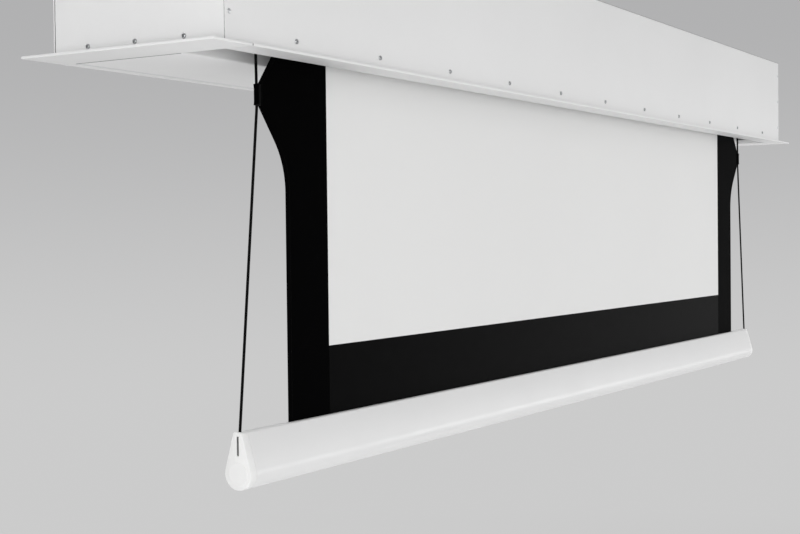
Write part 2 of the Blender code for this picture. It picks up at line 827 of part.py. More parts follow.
def make_motor(carrier):
    along = (0, ROLLER_Y, ROLLER_Z)
    inner = ROLLER_HALF - MOTOR_LENGTH
    body = [
        (0, HEAD_IN - GAP),
        (MOTOR_R, HEAD_IN - GAP),
        (MOTOR_R, inner + DRIVE_WHEEL + DRIVE_STEP),
        (DRIVE_SHAFT, inner + DRIVE_WHEEL + DRIVE_STEP),
        (DRIVE_SHAFT, inner - SHAFT_END),
        (0, inner - SHAFT_END),
    ]
    motor = turned(on_side(body, -1), "X", along, ring=False)
    finish(motor, "motor_tube", "steel", carrier)

    end = HEAD_IN + MOTOR_HEAD
    head = [
        (0, end),
        (MOTOR_HEAD_R - HEAD_EDGE, end),
        (MOTOR_HEAD_R, end - HEAD_EDGE),
        (MOTOR_HEAD_R, HEAD_IN),
        (0, HEAD_IN),
    ]
    made = turned(on_side(head, -1), "X", along, ring=False)
    join(made, stud(end, 0))
    finish(made, "motor_head", "black_plastic", carrier)
    finish(bracket(-1, stud(end, GAP)), "motor_bracket", "galvanised", carrier)


def stud(end, room):
    """The motor head's square stud, or with some room round it, its hole."""
    half = STUD / 2 + room
    square = rectangle(ROLLER_Y - half, ROLLER_Y + half, ROLLER_Z - half, ROLLER_Z + half)
    return as_mesh(prism([square], *span(-1, end - HEAD_EDGE, end + STUD_LENGTH), "X"))


def make_idler(carrier):
    along = (0, ROLLER_Y, ROLLER_Z)
    inner = ROLLER_HALF + GAP + FLANGE_T - BEARING_WIDTH - PIN_END
    out = BRACKET_NEAR + BRACKET_T + GAP
    pin = [
        (0, out + PIN_HEAD),
        (PIN_HEAD_R, out + PIN_HEAD),
        (PIN_HEAD_R, out),
        (PIN_R, out),
        (PIN_R, inner),
        (0, inner),
    ]
    finish(turned(pin, "X", along, ring=False), "idler_pin", "steel", carrier)
    bore = [
        (0, BRACKET_NEAR + PAST),
        (PIN_R + GAP, BRACKET_NEAR + PAST),
        (PIN_R + GAP, BRACKET_NEAR - PAST),
        (0, BRACKET_NEAR - PAST),
    ]
    hole = turned(bore, "X", along, ring=False)
    finish(bracket(1, hole), "idler_bracket", "galvanised", carrier)


# Casing and trim


def make_casing(carrier):
    low = -CASING_HEIGHT + GAP
    shell = box(
        (-CASING_HALF, CASING_FRONT, low),
        (CASING_HALF, CASING_REAR, 0),
        ((1, 0, 0), (-1, 0, 0), (0, 0, -1)),
    )
    bevel(shell, BEND, BEND_STEPS)
    finish(solidify(shell, WALL), "casing_shell", "white_paint", carrier)
    inside = WALL + GAP
    for side_name, side in SIDES:
        x0, x1 = span(side, CASING_HALF - END_FLANGE, CASING_HALF)
        tray = box(
            (x0, CASING_FRONT + inside, low + TRIM_T),
            (x1, CASING_REAR - inside, -inside),
            ((-side, 0, 0), (0, 0, -1)),
        )
        bevel(tray, BEND - inside, BEND_STEPS)
        solidify(tray, WALL)
        if side < 0:
            bore = GLAND_THREAD_R + GAP
            ends = (CASING_HALF + WALL, CASING_HALF - 2 * WALL)
            hole = [(0, ends[0]), (bore, ends[0]), (bore, ends[1]), (0, ends[1])]
            at = (0, GLAND_Y, GLAND_Z)
            cut(tray, turned(on_side(hole, -1), "X", at, ring=False))
        finish(tray, f"casing_end_{side_name}", "white_paint", carrier)
        for place, y in HANGER_PLACES:
            make_hanger(f"hanger_bracket_{place}_{side_name}", side, y, carrier)


def make_hanger(name, side, y, carrier):
    near = CASING_HALF + GAP
    far = near + HANGER_TAB
    half = HANGER_WIDTH / 2
    place = (-HANGER_DROP, HANGER_T, -HANGER_WEB, y - half, y + half)
    made = angle_piece(side, near, HANGER_TAB, 0, *place)
    slot = HANGER_SLOT / 2
    stop = far - HANGER_SLOT_IN + slot
    beyond = far + HANGER_T
    ends = list(arc((stop, 0), slot, 90, 270, 8))
    outline = [(side * u, y + v) for u, v in [*ends, (beyond, -slot), (beyond, slot)]]
    cut(made, as_mesh(prism([outline], -2 * HANGER_T, HANGER_T, "Z")))
    finish(made, name, "galvanised", carrier)


def slot_corner(y, side):
    """The rounded lower edge of a lip beside the slot, from the face up."""
    centre = (y - side * LIP_ROUND, TRIM_Z + LIP_ROUND)
    start, end = (-90, 0) if side > 0 else (270, 180)
    return list(arc(centre, LIP_ROUND, start, end, 4))


def make_rails(carrier):
    face, back = TRIM_Z, TRIM_Z + TRIM_T
    web = CASING_FRONT + WALL + GAP
    front = [
        (TRIM_FRONT, face),
        *slot_corner(SLOT_FRONT, 1),
        (SLOT_FRONT, back + LIP_RISE),
        (SLOT_FRONT - LIP, back + LIP_RISE),
        (SLOT_FRONT - LIP, back),
        (web + WEB, back),
        (web + WEB, back + WEB_RISE),
        (web, back + WEB_RISE),
        (web, back - GAP),
        (CASING_FRONT - GAP, back - GAP),
        (CASING_FRONT - GAP, back),
        (TRIM_FRONT, back),
    ]
    end = SEAM_X - SEAM
    finish(prism([front], -end, end, "X"), "front_rail", "white_paint", carrier)

    web = CASING_REAR - WALL - GAP
    rear = [
        (web - WEB, face),
        (TRIM_REAR, face),
        (TRIM_REAR, back),
        (CASING_REAR + GAP, back),
        (CASING_REAR + GAP, back - GAP),
        (web, back - GAP),
        (web, back + WEB_RISE),
        (web - WEB, back + WEB_RISE),
    ]
    finish(prism([rear], -end, end, "X"), "rear_rail", "white_paint", carrier)


def make_end_trim(carrier):
    back = TRIM_Z + TRIM_T
    inside = 2 * WALL + 3 * GAP
    low, high = CASING_FRONT + inside, CASING_REAR - inside
    web = CASING_HALF - WALL - GAP
    for side_name, side in SIDES:
        corners = rectangle(SEAM_X, TRIM_HALF, TRIM_FRONT, TRIM_REAR)
        plate = bevel(as_mesh(prism([mirrored(corners, side)], TRIM_Z, back, "Z")), EDGE)
        sunk = back - TRIM_T / 2
        for inner, rise in ((web - WEB, END_WEB_RISE), (SEAM_X, END_LIP_RISE)):
            x0, x1 = span(side, inner, inner + WEB)
            join(plate, box((x0, low, sunk), (x1, high, back + rise)))
        finish(plate, f"end_trim_{side_name}", "white_paint", carrier)


# Service panel


def make_panel(carrier, casing):
    face, back = TRIM_Z, TRIM_Z + TRIM_T
    rear = HINGE_Y - HINGE_R - KNUCKLE_GAP
    pitch = (rear - HINGE_LEAF_WIDTH - SLOT_REAR) / PANEL_RIBS
    outline = [
        (rear, face),
        (rear, back),
    ]
    for i in range(PANEL_RIBS - 1, 0, -1):
        y = SLOT_REAR + i * pitch
        outline += [
            (y + PANEL_RIB, back),
            (y + PANEL_RIB, back + PANEL_RIB_RISE),
            (y, back + PANEL_RIB_RISE),
            (y, back),
        ]
    outline += [
        (SLOT_REAR + LIP, back),
        (SLOT_REAR + LIP, back + LIP_RISE),
        (SLOT_REAR, back + LIP_RISE),
        *reversed(slot_corner(SLOT_REAR, -1)),
    ]
    panel = prism([outline], -PANEL_HALF, PANEL_HALF, "X")
    finish(panel, "service_panel", "white_paint", carrier)

    make_hinge(carrier, casing)
    catch_y = SLOT_REAR + pitch / 2
    for side_name, side in SIDES:
        make_catch(side_name, side, catch_y, carrier, casing)


def make_hinge(carrier, casing):
    """A piano hinge: one leaf stands on the rear rail, one lies on the panel."""
    back = TRIM_Z + TRIM_T
    outer, inner = HINGE_R, HINGE_R - HINGE_LEAF
    curl = circle((HINGE_Y, HINGE_Z), outer, SMALL_ROUND)
    bore = circle((HINGE_Y, HINGE_Z), HINGE_PIN_R + GAP, SMALL_ROUND)
    upright = rectangle(HINGE_Y + inner, HINGE_Y + outer, HINGE_Z, back + HINGE_LEAF_WIDTH)
    near = back + GAP
    lying = rectangle(HINGE_Y - HINGE_LEAF_WIDTH, HINGE_Y - GAP, near, near + HINGE_LEAF)
    pitch = 2 * PANEL_HALF / HINGE_KNUCKLES
    leaves = (
        ("hinge_fixed_leaf", upright, 0, casing),
        ("hinge_panel_leaf", lying, 1, carrier),
    )
    for name, flat, first, owner in leaves:
        leaf = as_mesh(prism([curl], -PANEL_HALF, PANEL_HALF, "X"))
        join(leaf, as_mesh(prism([flat], -PANEL_HALF, PANEL_HALF, "X")))
        cut(leaf, as_mesh(prism([bore], -PANEL_HALF - PAST, PANEL_HALF + PAST, "X")))
        for i in range(HINGE_KNUCKLES):
            if i % 2 == first:
                continue
            x = -PANEL_HALF + i * pitch - KNUCKLE_GAP / 2
            room = outer + KNUCKLE_GAP
            low = (x, HINGE_Y - room, HINGE_Z - room)
            high = (x + pitch + KNUCKLE_GAP, HINGE_Y + room, HINGE_Z + room)
            cut(leaf, box(low, high))
        finish(leaf, name, "aluminium", owner)
    ends = ((-PANEL_HALF, HINGE_Y, HINGE_Z), (PANEL_HALF, HINGE_Y, HINGE_Z))
    finish(tube(ends, HINGE_PIN_R, 3), "hinge_pin", "steel", casing)


def make_catch(side_name, side, y, carrier, casing):
    """A catch on the end trim reaches over the panel's end to a strike plate."""
    back = TRIM_Z + TRIM_T
    foot_in = SEAM_X + LIP + 2 * GAP
    foot_out = foot_in + CATCH_FOOT
    tip = PANEL_HALF - CATCH_REACH
    heel = tip + CATCH_PAD
    top = back + CATCH_RISE
    pad = back + GAP + STRIKE_T + GAP
    half = CATCH_WIDTH / 2
    outline = [
        (foot_in, back + GAP),
        (foot_out, back + GAP),
        (foot_out, back + GAP + CATCH_T),
        (foot_in + CATCH_T, back + GAP + CATCH_T),
        (foot_in + CATCH_T, top),
        (tip, top),
        (tip, pad),
        (heel, pad),
        (heel, top - CATCH_T),
        (foot_in, top - CATCH_T),
    ]
    catch = prism([mirrored(outline, side)], y - half, y + half, "Y")
    finish(catch, f"panel_catch_{side_name}", "black_plastic", casing)
    x0, x1 = span(side, tip, heel)
    plate = box((x0, y - half, back + GAP), (x1, y + half, back + GAP + STRIKE_T))
    finish(plate, f"strike_plate_{side_name}", "steel", carrier)


# Electrical end


def make_gland(carrier):
    """A cable gland: a domed body outside the casing's end and a locknut inside."""
    outer = CASING_HALF + GAP
    inner = CASING_HALF - WALL - GAP
    end = outer + GLAND_REACH
    thread_end = inner - GLAND_NUT - EDGE
    gland = [
        (GLAND_BORE_R + GLAND_LIP, end),
        (GLAND_TIP_R, end - GLAND_LIP),
        (GLAND_DOME_R, outer + GLAND_NUT + 2 * GLAND_LIP),
        (GLAND_NECK_R, outer + GLAND_NUT + GLAND_LIP),
        (GLAND_NECK_R, outer + EDGE),
        (GLAND_THREAD_R, outer + EDGE),
        (GLAND_THREAD_R, thread_end),
        (GLAND_BORE_R, thread_end),
        (GLAND_BORE_R, end),
    ]
    made = turned(on_side(gland, -1), "X", (0, GLAND_Y, GLAND_Z))
    centre = (GLAND_Y, GLAND_Z)
    hexagon = circle(centre, GLAND_NUT_R, 6)
    bore = circle(centre, (GLAND_THREAD_R + GLAND_BORE_R) / 2, SMALL_ROUND)
    for low in (outer, inner - GLAND_NUT):
        nut = prism([hexagon, bore], *span(-1, low, low + GLAND_NUT), "X")
        join(made, as_mesh(nut))
    finish(made, "cable_gland", "black_plastic", carrier)


def make_terminal_box(carrier):
    x0, x1 = span(-1, BOX_FACE - BOX_DEPTH, BOX_FACE)
    half_y, half_z = BOX_WIDTH / 2, BOX_HEIGHT / 2
    sides = (BOX_Y - half_y, BOX_Y + half_y, BOX_Z - half_z, BOX_Z + half_z)
    case = bevel(box((x0, sides[0], sides[2]), (x1, sides[1], sides[3])), BOX_EDGE)
    outside = rectangle(sides[0] - PAST, sides[1] + PAST, sides[2] - PAST, sides[3] + PAST)
    deep = BOX_SEAM_DEPTH
    inside = rectangle(sides[0] + deep, sides[1] - deep, sides[2] + deep, sides[3] - deep)
    seam = x1 - BOX_LID
    cut(case, as_mesh(prism([outside, inside], seam - BOX_SEAM, seam, "X")))
    finish(case, "terminal_box", "grey_plastic", carrier)


def make_lead(carrier):
    """The motor's lead: straight back from its head, then round into the box's lid."""
    x = HEAD_IN + MOTOR_HEAD - HEAD_EDGE - LEAD_D / 2
    start = ROLLER_Y + MOTOR_HEAD_R + GAP
    turn = BOX_Y - LEAD_BEND
    flat = [(x, start + (turn - start) * i / LEAD_STEPS) for i in range(LEAD_STEPS)]
    flat += arc((x + LEAD_BEND, turn), LEAD_BEND, 180, 90, LEAD_STEPS)
    flat.append((BOX_FACE - BOX_DEPTH - GAP, BOX_Y))
    points = []
    for i, (u, v) in enumerate(flat):
        share = i / (len(flat) - 1)
        rise = share * share * (3 - 2 * share) * (BOX_Z - ROLLER_Z)
        points.append((-u, v, ROLLER_Z + rise - LEAD_SAG * sin(pi * share) ** 2))
    finish(tube(points, LEAD_D / 2, 2), "motor_lead", "black_plastic", carrier)


clear_scene()
PARTS = new_collection("recessed_projector_screen")
CUTTERS = new_collection("cutters")
MATERIALS = make_materials()

casing_frame = empty("casing", (0, 0, 0))
roller_axis = empty("roller_axis", (0, ROLLER_Y, ROLLER_Z))
bar_frame = empty("bar_frame", (0, 0, BAR_Z))
hinge_axis = empty("hinge_axis", (0, HINGE_Y, HINGE_Z))

make_casing(casing_frame)
make_rails(casing_frame)
make_end_trim(casing_frame)
make_panel(hinge_axis, casing_frame)
make_roller(roller_axis)
make_motor(casing_frame)
make_idler(casing_frame)
make_gland(casing_frame)
make_terminal_box(casing_frame)
make_lead(casing_frame)
make_weight_bar(bar_frame)
make_fabric(bar_frame)
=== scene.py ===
import json
from math import ceil, cos, pi, radians, sin, sqrt, tan, tau

import bmesh
import bpy
from mathutils import Matrix, Vector


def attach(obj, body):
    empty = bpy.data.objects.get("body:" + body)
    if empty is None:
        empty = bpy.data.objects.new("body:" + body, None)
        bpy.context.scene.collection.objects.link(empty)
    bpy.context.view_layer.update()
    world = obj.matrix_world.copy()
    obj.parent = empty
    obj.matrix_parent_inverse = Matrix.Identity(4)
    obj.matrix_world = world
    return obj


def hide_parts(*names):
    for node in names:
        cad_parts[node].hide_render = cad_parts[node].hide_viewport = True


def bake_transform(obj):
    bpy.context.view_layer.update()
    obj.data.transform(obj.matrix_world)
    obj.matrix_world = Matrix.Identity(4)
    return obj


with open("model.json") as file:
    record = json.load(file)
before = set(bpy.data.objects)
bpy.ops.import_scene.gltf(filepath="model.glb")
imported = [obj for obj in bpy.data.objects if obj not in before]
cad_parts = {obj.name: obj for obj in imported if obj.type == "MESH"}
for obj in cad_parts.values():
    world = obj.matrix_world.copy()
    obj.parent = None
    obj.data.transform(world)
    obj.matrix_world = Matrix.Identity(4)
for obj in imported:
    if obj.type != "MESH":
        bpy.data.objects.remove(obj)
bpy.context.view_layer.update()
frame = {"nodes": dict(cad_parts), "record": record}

scene = bpy.context.scene
scene.view_settings.view_transform = "Standard"

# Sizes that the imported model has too, in metres

GAP = 0.0003  # between neighbours
IMAGE_HALF = 0.800
FABRIC_HALF = 0.8935
FABRIC_T = 0.0006
FABRIC_TOP = -0.079894  # where the cloth leaves the roll
FABRIC_LOW = -0.6582  # in the bar's hem pocket
SEAM_Z = -0.562  # between the white field and the bottom border

# The trim, and the seam beside each of its end plates
TRIM_Z = -0.198
TRIM_T = 0.003
TRIM_FRONT = -0.0755
TRIM_REAR = 0.222
SLOT_FRONT = -0.033
SLOT_REAR = 0.0315
SEAM_X = 1.056
SEAM = 0.0012

# The ear on each side border, and the sleeve that its cord runs through
EAR_X = 0.9515
EAR_R = 0.104
EAR_LEAN = radians(38.0)  # of its straight edge, from upright
EAR_LOW_Z = -0.360
SLEEVE = 0.026
SLEEVE_WALL = 0.0012
CORD_R = 0.0018
SLEEVE_IN = EAR_X - CORD_R - GAP - SLEEVE_WALL / 2
EAR_TURN_UP = EAR_R * sin(EAR_LEAN)
EAR_TURN_OUT = EAR_R * (1 - cos(EAR_LEAN))
EAR_HALF = EAR_TURN_UP + (SLEEVE_IN - FABRIC_HALF - EAR_TURN_OUT) / tan(EAR_LEAN)
SLEEVE_LOW = EAR_LOW_Z + EAR_HALF
SLEEVE_TOP = SLEEVE_LOW + SLEEVE

# The roller, and what is wound on it
ROLLER_Y = 0.039106
ROLLER_Z = -0.079594
TURNS = 3.1873
WRAP_R = 0.039106
LAYER = 0.0011
CORD_WRAP_R = 0.0371
CORD_PITCH = 0.0042

# The weight bar, its end caps and the tensioners in it
BAR_Z = -0.653
BAR_HALF = 0.9985
BAR_ROUND_Z = -0.7042
SLIT_TOP = 0.005
SLIT_BOTTOM = 0.029
SLIT_WIDTH = 0.003
CORD_BAR_X = 0.9941
CORD_DOWN = 0.020
CORD_BEND = 0.009
ANCHOR_OUT = 0.9668
ANCHOR_IN = 0.9528
STOP_OUT = 0.9008
SPRING_Z = -0.682
SPRING_R = 0.0058
SPRING_WIRE = 0.0012
SPRING_CURLS = 12

# The casing, the panel's hinge, the motor's head and the terminal box
CASING_HALF = 1.087
CASING_FRONT = -0.0605
CASING_REAR = 0.207
CASING_WALL = 0.0015
HINGE_Y = 0.2007
MOTOR_HEAD_R = 0.029
BOX_Y = 0.160
BOX_Z = -0.070
BOX_LID_X = -1.0452

# The motor's lead
LEAD_X = 1.0038
LEAD_START = 0.068406
LEAD_TURN = 0.124
LEAD_BEND = 0.036
LEAD_SAG = 0.006
LEAD_END_X = 1.0449
LEAD_D = 0.006
LEAD_STEPS = 12
LEAD_CORNERS = 16

SIDES = (("left", -1), ("right", 1))


# Looks, each built from shader nodes


class Look:
    """One material while its nodes are being joined."""

    def __init__(self, name, roughness, metallic=0.0, **fixed):
        self.mat = bpy.data.materials.new(name)
        self.mat.use_nodes = True
        self.tree = self.mat.node_tree
        self.shader = self.tree.nodes["Principled BSDF"]
        self.shader.inputs["Roughness"].default_value = roughness
        self.shader.inputs["Metallic"].default_value = metallic
        for socket, value in fixed.items():
            self.shader.inputs[socket.replace("_", " ")].default_value = value
        self.at = self.new("TexCoord").outputs["Object"]
        self.normal = None

    def new(self, kind):
        return self.tree.nodes.new("ShaderNode" + kind)

    def put(self, socket, value):
        if isinstance(value, bpy.types.NodeSocket):
            self.tree.links.new(value, socket)
        else:
            socket.default_value = value

    def stretched(self, scale):
        node = self.new("Mapping")
        self.put(node.inputs["Vector"], self.at)
        node.inputs["Scale"].default_value = scale
        return node.outputs["Vector"]

    def noise(self, scale, detail=2.0, at=None, rough=0.5):
        node = self.new("TexNoise")
        self.put(node.inputs["Vector"], at or self.at)
        node.inputs["Scale"].default_value = scale
        node.inputs["Detail"].default_value = detail
        node.inputs["Roughness"].default_value = rough
        return node.outputs["Fac"]

    def cells(self, scale, feature="F1", at=None):
        node = self.new("TexVoronoi")
        node.feature = feature
        self.put(node.inputs["Vector"], at or self.at)
        node.inputs["Scale"].default_value = scale
        return node.outputs

    def wave(self, direction, scale, distort=0.0, at=None):
        node = self.new("TexWave")
        node.wave_type = "BANDS"
        node.bands_direction = direction
        self.put(node.inputs["Vector"], at or self.at)
        node.inputs["Scale"].default_value = scale
        node.inputs["Distortion"].default_value = distort
        return node.outputs["Fac"]

    def spread(self, value, low, high, a=0.3, b=0.7):
        node = self.new("MapRange")
        self.put(node.inputs["Value"], value)
        node.inputs["From Min"].default_value = a
        node.inputs["From Max"].default_value = b
        node.inputs["To Min"].default_value = low
        node.inputs["To Max"].default_value = high
        return node.outputs["Result"]

    def maths(self, operation, a, b=0.0):
        node = self.new("Math")
        node.operation = operation
        self.put(node.inputs[0], a)
        self.put(node.inputs[1], b)
        return node.outputs["Value"]

    def blend(self, share, a, b):
        node = self.new("Mix")
        node.data_type = "RGBA"
        self.put(node.inputs["Factor"], share)
        colours = [s for s in node.inputs if s.type == "RGBA"]
        for socket, value in zip(colours, (a, b)):
            self.put(socket, (*value, 1.0) if isinstance(value, tuple) else value)
        return next(s for s in node.outputs if s.type == "RGBA")

    def colour(self, value):
        socket = self.shader.inputs["Base Color"]
        self.put(socket, (*value, 1.0) if isinstance(value, tuple) else value)

    def rough(self, value):
        self.put(self.shader.inputs["Roughness"], value)

    def bump(self, height, strength, distance):
        node = self.new("Bump")
        node.inputs["Strength"].default_value = strength
        node.inputs["Distance"].default_value = distance
        self.put(node.inputs["Height"], height)
        if self.normal is not None:
            self.put(node.inputs["Normal"], self.normal)
        self.normal = node.outputs["Normal"]
        self.put(self.shader.inputs["Normal"], self.normal)

    def facing_up(self):
        """How far a face looks upward, for the dust that settles on it."""
        split = self.new("SeparateXYZ")
        self.put(split.inputs[0], self.new("NewGeometry").outputs["Normal"])
        return self.spread(split.outputs["Z"], 0.0, 1.0, 0.5, 0.95)

    def inside(self):
        """1 on the casing's inner faces, where painted shade darkens the coat, and 0 outside."""
        split = self.new("SeparateXYZ")
        self.put(split.inputs[0], self.at)
        x, y, z = (split.outputs[axis] for axis in "XYZ")
        skin = CASING_WALL / 2
        middle = (CASING_FRONT + CASING_REAR) / 2
        depth = (CASING_REAR - CASING_FRONT) / 2 - skin
        along = self.maths("LESS_THAN", self.maths("ABSOLUTE", x), CASING_HALF - skin)
        across = self.maths("ABSOLUTE", self.maths("SUBTRACT", y, middle))
        both = self.maths("MULTIPLY", along, self.maths("LESS_THAN", across, depth))
        return self.maths("MULTIPLY", both, self.maths("LESS_THAN", z, -skin))


DUST = (0.36, 0.34, 0.31)
# Painted shade: a dark grey for the casing's inner faces, seen through the slot
INNER_SHADE = (0.16, 0.16, 0.165)


def shade(colour, by):
    return tuple(c * by for c in colour)


def painted(name, colour, roughness, dust=0.0, drawn=False, inner_shade=None):
    """Powder coat: a fine orange peel, slight unevenness and some settled dust, with painted shade on
    the casing's inner faces where asked.
    """
    look = Look(name, roughness)
    tone = look.blend(look.spread(look.noise(3.0, 4.0), 0.0, 1.0), colour, shade(colour, 0.965))
    speck = look.spread(look.noise(420.0, 1.0), 0.0, 1.0, 0.70, 0.78)
    tone = look.blend(look.maths("MULTIPLY", speck, 0.10), tone, shade(colour, 0.7))
    if dust:
        settled = look.maths("MULTIPLY", look.facing_up(), look.spread(look.noise(26.0, 5.0), 0.3, 1.0))
        tone = look.blend(look.maths("MULTIPLY", settled, dust), tone, DUST)
    # Painted shade: the casing's inner faces turned dark grey, with streaks
    if inner_shade:
        streaky = look.spread(look.noise(1.0, 3.0, look.stretched((9.0, 40.0, 40.0))), 0.0, 1.0)
        tone = look.blend(look.inside(), tone, look.blend(streaky, inner_shade, shade(inner_shade, 0.8)))
    look.colour(tone)
    look.rough(look.spread(look.noise(14.0, 3.0), roughness - 0.05, roughness + 0.07))
    if drawn:
        streak = look.noise(1.0, 3.0, look.stretched((2.0, 260.0, 260.0)))
        look.bump(streak, 0.18, 0.00008)
    look.bump(look.noise(850.0, 2.0), 0.22, 0.00006)
    return look.mat


def moulded(name, colour, roughness):
    """Moulded plastic with a fine spark texture."""
    look = Look(name, roughness)
    look.colour(look.blend(look.spread(look.noise(9.0, 3.0), 0.0, 1.0), colour, shade(colour, 0.92)))
    look.rough(look.spread(look.noise(60.0, 2.0), roughness - 0.06, roughness + 0.06))
    look.bump(look.noise(1600.0, 1.0), 0.3, 0.00005)
    return look.mat


def galvanised(name, colour):
    """Hot-dip zinc: crystals of different grey, with a soft sheen."""
    look = Look(name, 0.42, 0.92)
    cells = look.cells(85.0)
    crystal = look.spread(look.noise(1.0, 0.0, cells["Color"]), 0.0, 1.0, 0.2, 0.8)
    look.colour(look.blend(crystal, shade(colour, 0.82), shade(colour, 1.12)))
    mottled = look.maths("MULTIPLY", look.noise(240.0, 3.0), 0.12)
    look.rough(look.maths("ADD", look.spread(crystal, 0.32, 0.46, 0.0, 1.0), mottled))
    look.bump(cells["Distance"], 0.08, 0.0001)
    return look.mat


def metal(name, colour, roughness, along=None):
    """Bare metal, with lines along the way it was drawn or turned."""
    look = Look(name, roughness, 1.0)
    scale = along or (180.0, 180.0, 180.0)
    line = look.noise(1.0, 4.0, look.stretched(scale), 0.6)
    look.colour(look.blend(look.spread(line, 0.0, 1.0), colour, shade(colour, 0.86)))
    look.rough(look.spread(line, roughness - 0.06, roughness + 0.1))
    look.bump(line, 0.12, 0.00006)
    return look.mat


def screen_white(name, colour):
    """The matte viewing surface: an even emboss with almost no shine."""
    look = Look(name, 0.9, Specular_IOR_Level=0.25)
    look.colour(look.blend(look.spread(look.noise(2.2, 3.0), 0.0, 1.0), colour, shade(colour, 0.985)))
    look.rough(look.spread(look.noise(1800.0, 1.0), 0.84, 0.96))
    look.bump(look.noise(2400.0, 2.0), 0.25, 0.00004)
    return look.mat


def screen_black(name, colour, specular, roughness, sheen):
    """Black coated cloth: threads both ways under a thin coat."""
    look = Look(name, roughness, Specular_IOR_Level=specular, Sheen_Weight=sheen, Sheen_Roughness=0.3)
    look.colour(look.blend(look.spread(look.noise(30.0, 4.0), 0.0, 1.0), colour, shade(colour, 1.15)))
    look.rough(look.spread(look.noise(45.0, 3.0), roughness - 0.02, roughness + 0.02))
    threads = look.maths("ADD", look.wave("X", 420.0, 0.6), look.wave("Z", 420.0, 0.6))
    look.bump(threads, 0.2, 0.00006)
    return look.mat


def braided(name, colour):
    """A braided cord: strands that cross as they climb round it."""
    look = Look(name, 0.75, Specular_IOR_Level=0.02)
    one = look.wave("DIAGONAL", 260.0, 1.5)
    other = look.wave("DIAGONAL", 260.0, 1.5, look.stretched((-1.0, -1.0, 1.0)))
    strands = look.maths("MAXIMUM", one, other)
    look.colour(look.blend(strands, shade(colour, 0.6), shade(colour, 1.6)))
    look.bump(strands, 0.5, 0.0002)
    return look.mat


LOOKS = {
    "white_fabric": screen_white("projection_white", (0.80, 0.80, 0.795)),
    "black_fabric": screen_black("border_black", (0.0006, 0.0006, 0.0007), 0.0015, 0.6, 0.07),
    "border_low": screen_black("border_black_low", (0.0008, 0.0008, 0.0009), 0.004, 0.42, 0.13),
    "cord_black": braided("braid_black", (0.003, 0.003, 0.003)),
    "white_trim": painted("coat_trim", (0.80, 0.80, 0.80), 0.42),
    # The casing's coat carries painted shade on its inner faces
    "white_casing": painted("coat_casing", (0.80, 0.80, 0.80), 0.5, dust=0.2, inner_shade=INNER_SHADE),
    "white_bar": painted("coat_bar", (0.78, 0.78, 0.78), 0.40, drawn=True),
    "white_plastic": moulded("moulded_white", (0.87, 0.87, 0.865), 0.42),
    "black_plastic": moulded("moulded_black", (0.022, 0.022, 0.023), 0.48),
    "grey_plastic": moulded("moulded_grey", (0.33, 0.34, 0.35), 0.5),
    "galvanised": galvanised("zinc_spangle", (0.56, 0.58, 0.59)),
    "aluminium": metal("mill_aluminium", (0.72, 0.73, 0.74), 0.34, (3.0, 420.0, 420.0)),
    "steel": metal("bright_zinc", (0.56, 0.57, 0.58), 0.28),
}


# Mesh tools

# Angles from which an edge stays sharp, in degrees
SHEET_CREASE = 40.0
TUBE_CREASE = 50.0
SLEEVE_CREASE = 60.0
SMALL_CREASE = 30.0

MERGE = 2e-6  # corners of a CAD solid nearer than this are one
FLAT = radians(0.6)  # its faces that meet at less than this are one
EDGE = 0.0003  # how wide its edges are rounded
EDGES = {"casing_shell": 0.0005}
EDGE_ANGLE = radians(32.0)  # from which they are
EDGE_PARTS = 2


def new_piece(name, verts, faces, look, crease):
    """A mesh object in the row frame, smooth up to an angle."""
    mesh = bpy.data.meshes.new(name)
    mesh.from_pydata([tuple(v) for v in verts], [], faces)
    mesh.validate()
    bm = bmesh.new()
    bm.from_mesh(mesh)
    bmesh.ops.recalc_face_normals(bm, faces=bm.faces)
    bm.to_mesh(mesh)
    bm.free()
    mesh.polygons.foreach_set("use_smooth", [True] * len(mesh.polygons))
    mesh.set_sharp_from_angle(angle=radians(crease))
    mesh.materials.append(LOOKS[look])
    obj = bpy.data.objects.new(name, mesh)
    scene.collection.objects.link(obj)
    return obj


def rings_to_solid(rings):
    """Faces between rings of equal length, capped at both ends."""
    verts, faces, n = [], [], len(rings[0])
    for ring in rings:
        verts += ring
    for i in range(len(rings) - 1):
        for j in range(n):
            a, b = i * n + j, i * n + (j + 1) % n
            faces.append((a, b, b + n, a + n))
    faces.append(tuple(reversed(range(n))))
    faces.append(tuple(range((len(rings) - 1) * n, len(rings) * n)))
    return verts, faces


def tube_rings(points, radius, corners):
    """Rings round a line, turned as little as possible from one to the next."""
    spots = [Vector(p) for p in points]
    ways = []
    for i in range(len(spots)):
        a, b = spots[max(i - 1, 0)], spots[min(i + 1, len(spots) - 1)]
        ways.append((b - a).normalized())
    side = ways[0].orthogonal().normalized()
    rings = []
    for i, (spot, way) in enumerate(zip(spots, ways)):
        if i:
            side = ways[i - 1].rotation_difference(way) @ side
        side = (side - way * side.dot(way)).normalized()
        over = way.cross(side)
        rings.append([
            spot + (side * cos(tau * k / corners) + over * sin(tau * k / corners)) * radius
            for k in range(corners)
        ])
    return rings


def tube_piece(name, points, radius, corners, look):
    """A round tube along a line, closed at both ends."""
    verts, faces = rings_to_solid(tube_rings(points, radius, corners))
    return new_piece(name, verts, faces, look, TUBE_CREASE)


def spaced(points, step):
    """The same line with points no further apart than a step."""
    out = [Vector(points[0])]
    for a, b in zip(points, points[1:]):
        a, b = Vector(a), Vector(b)
        n = max(1, ceil((b - a).length / step))
        out += [a.lerp(b, (i + 1) / n) for i in range(n)]
    return out


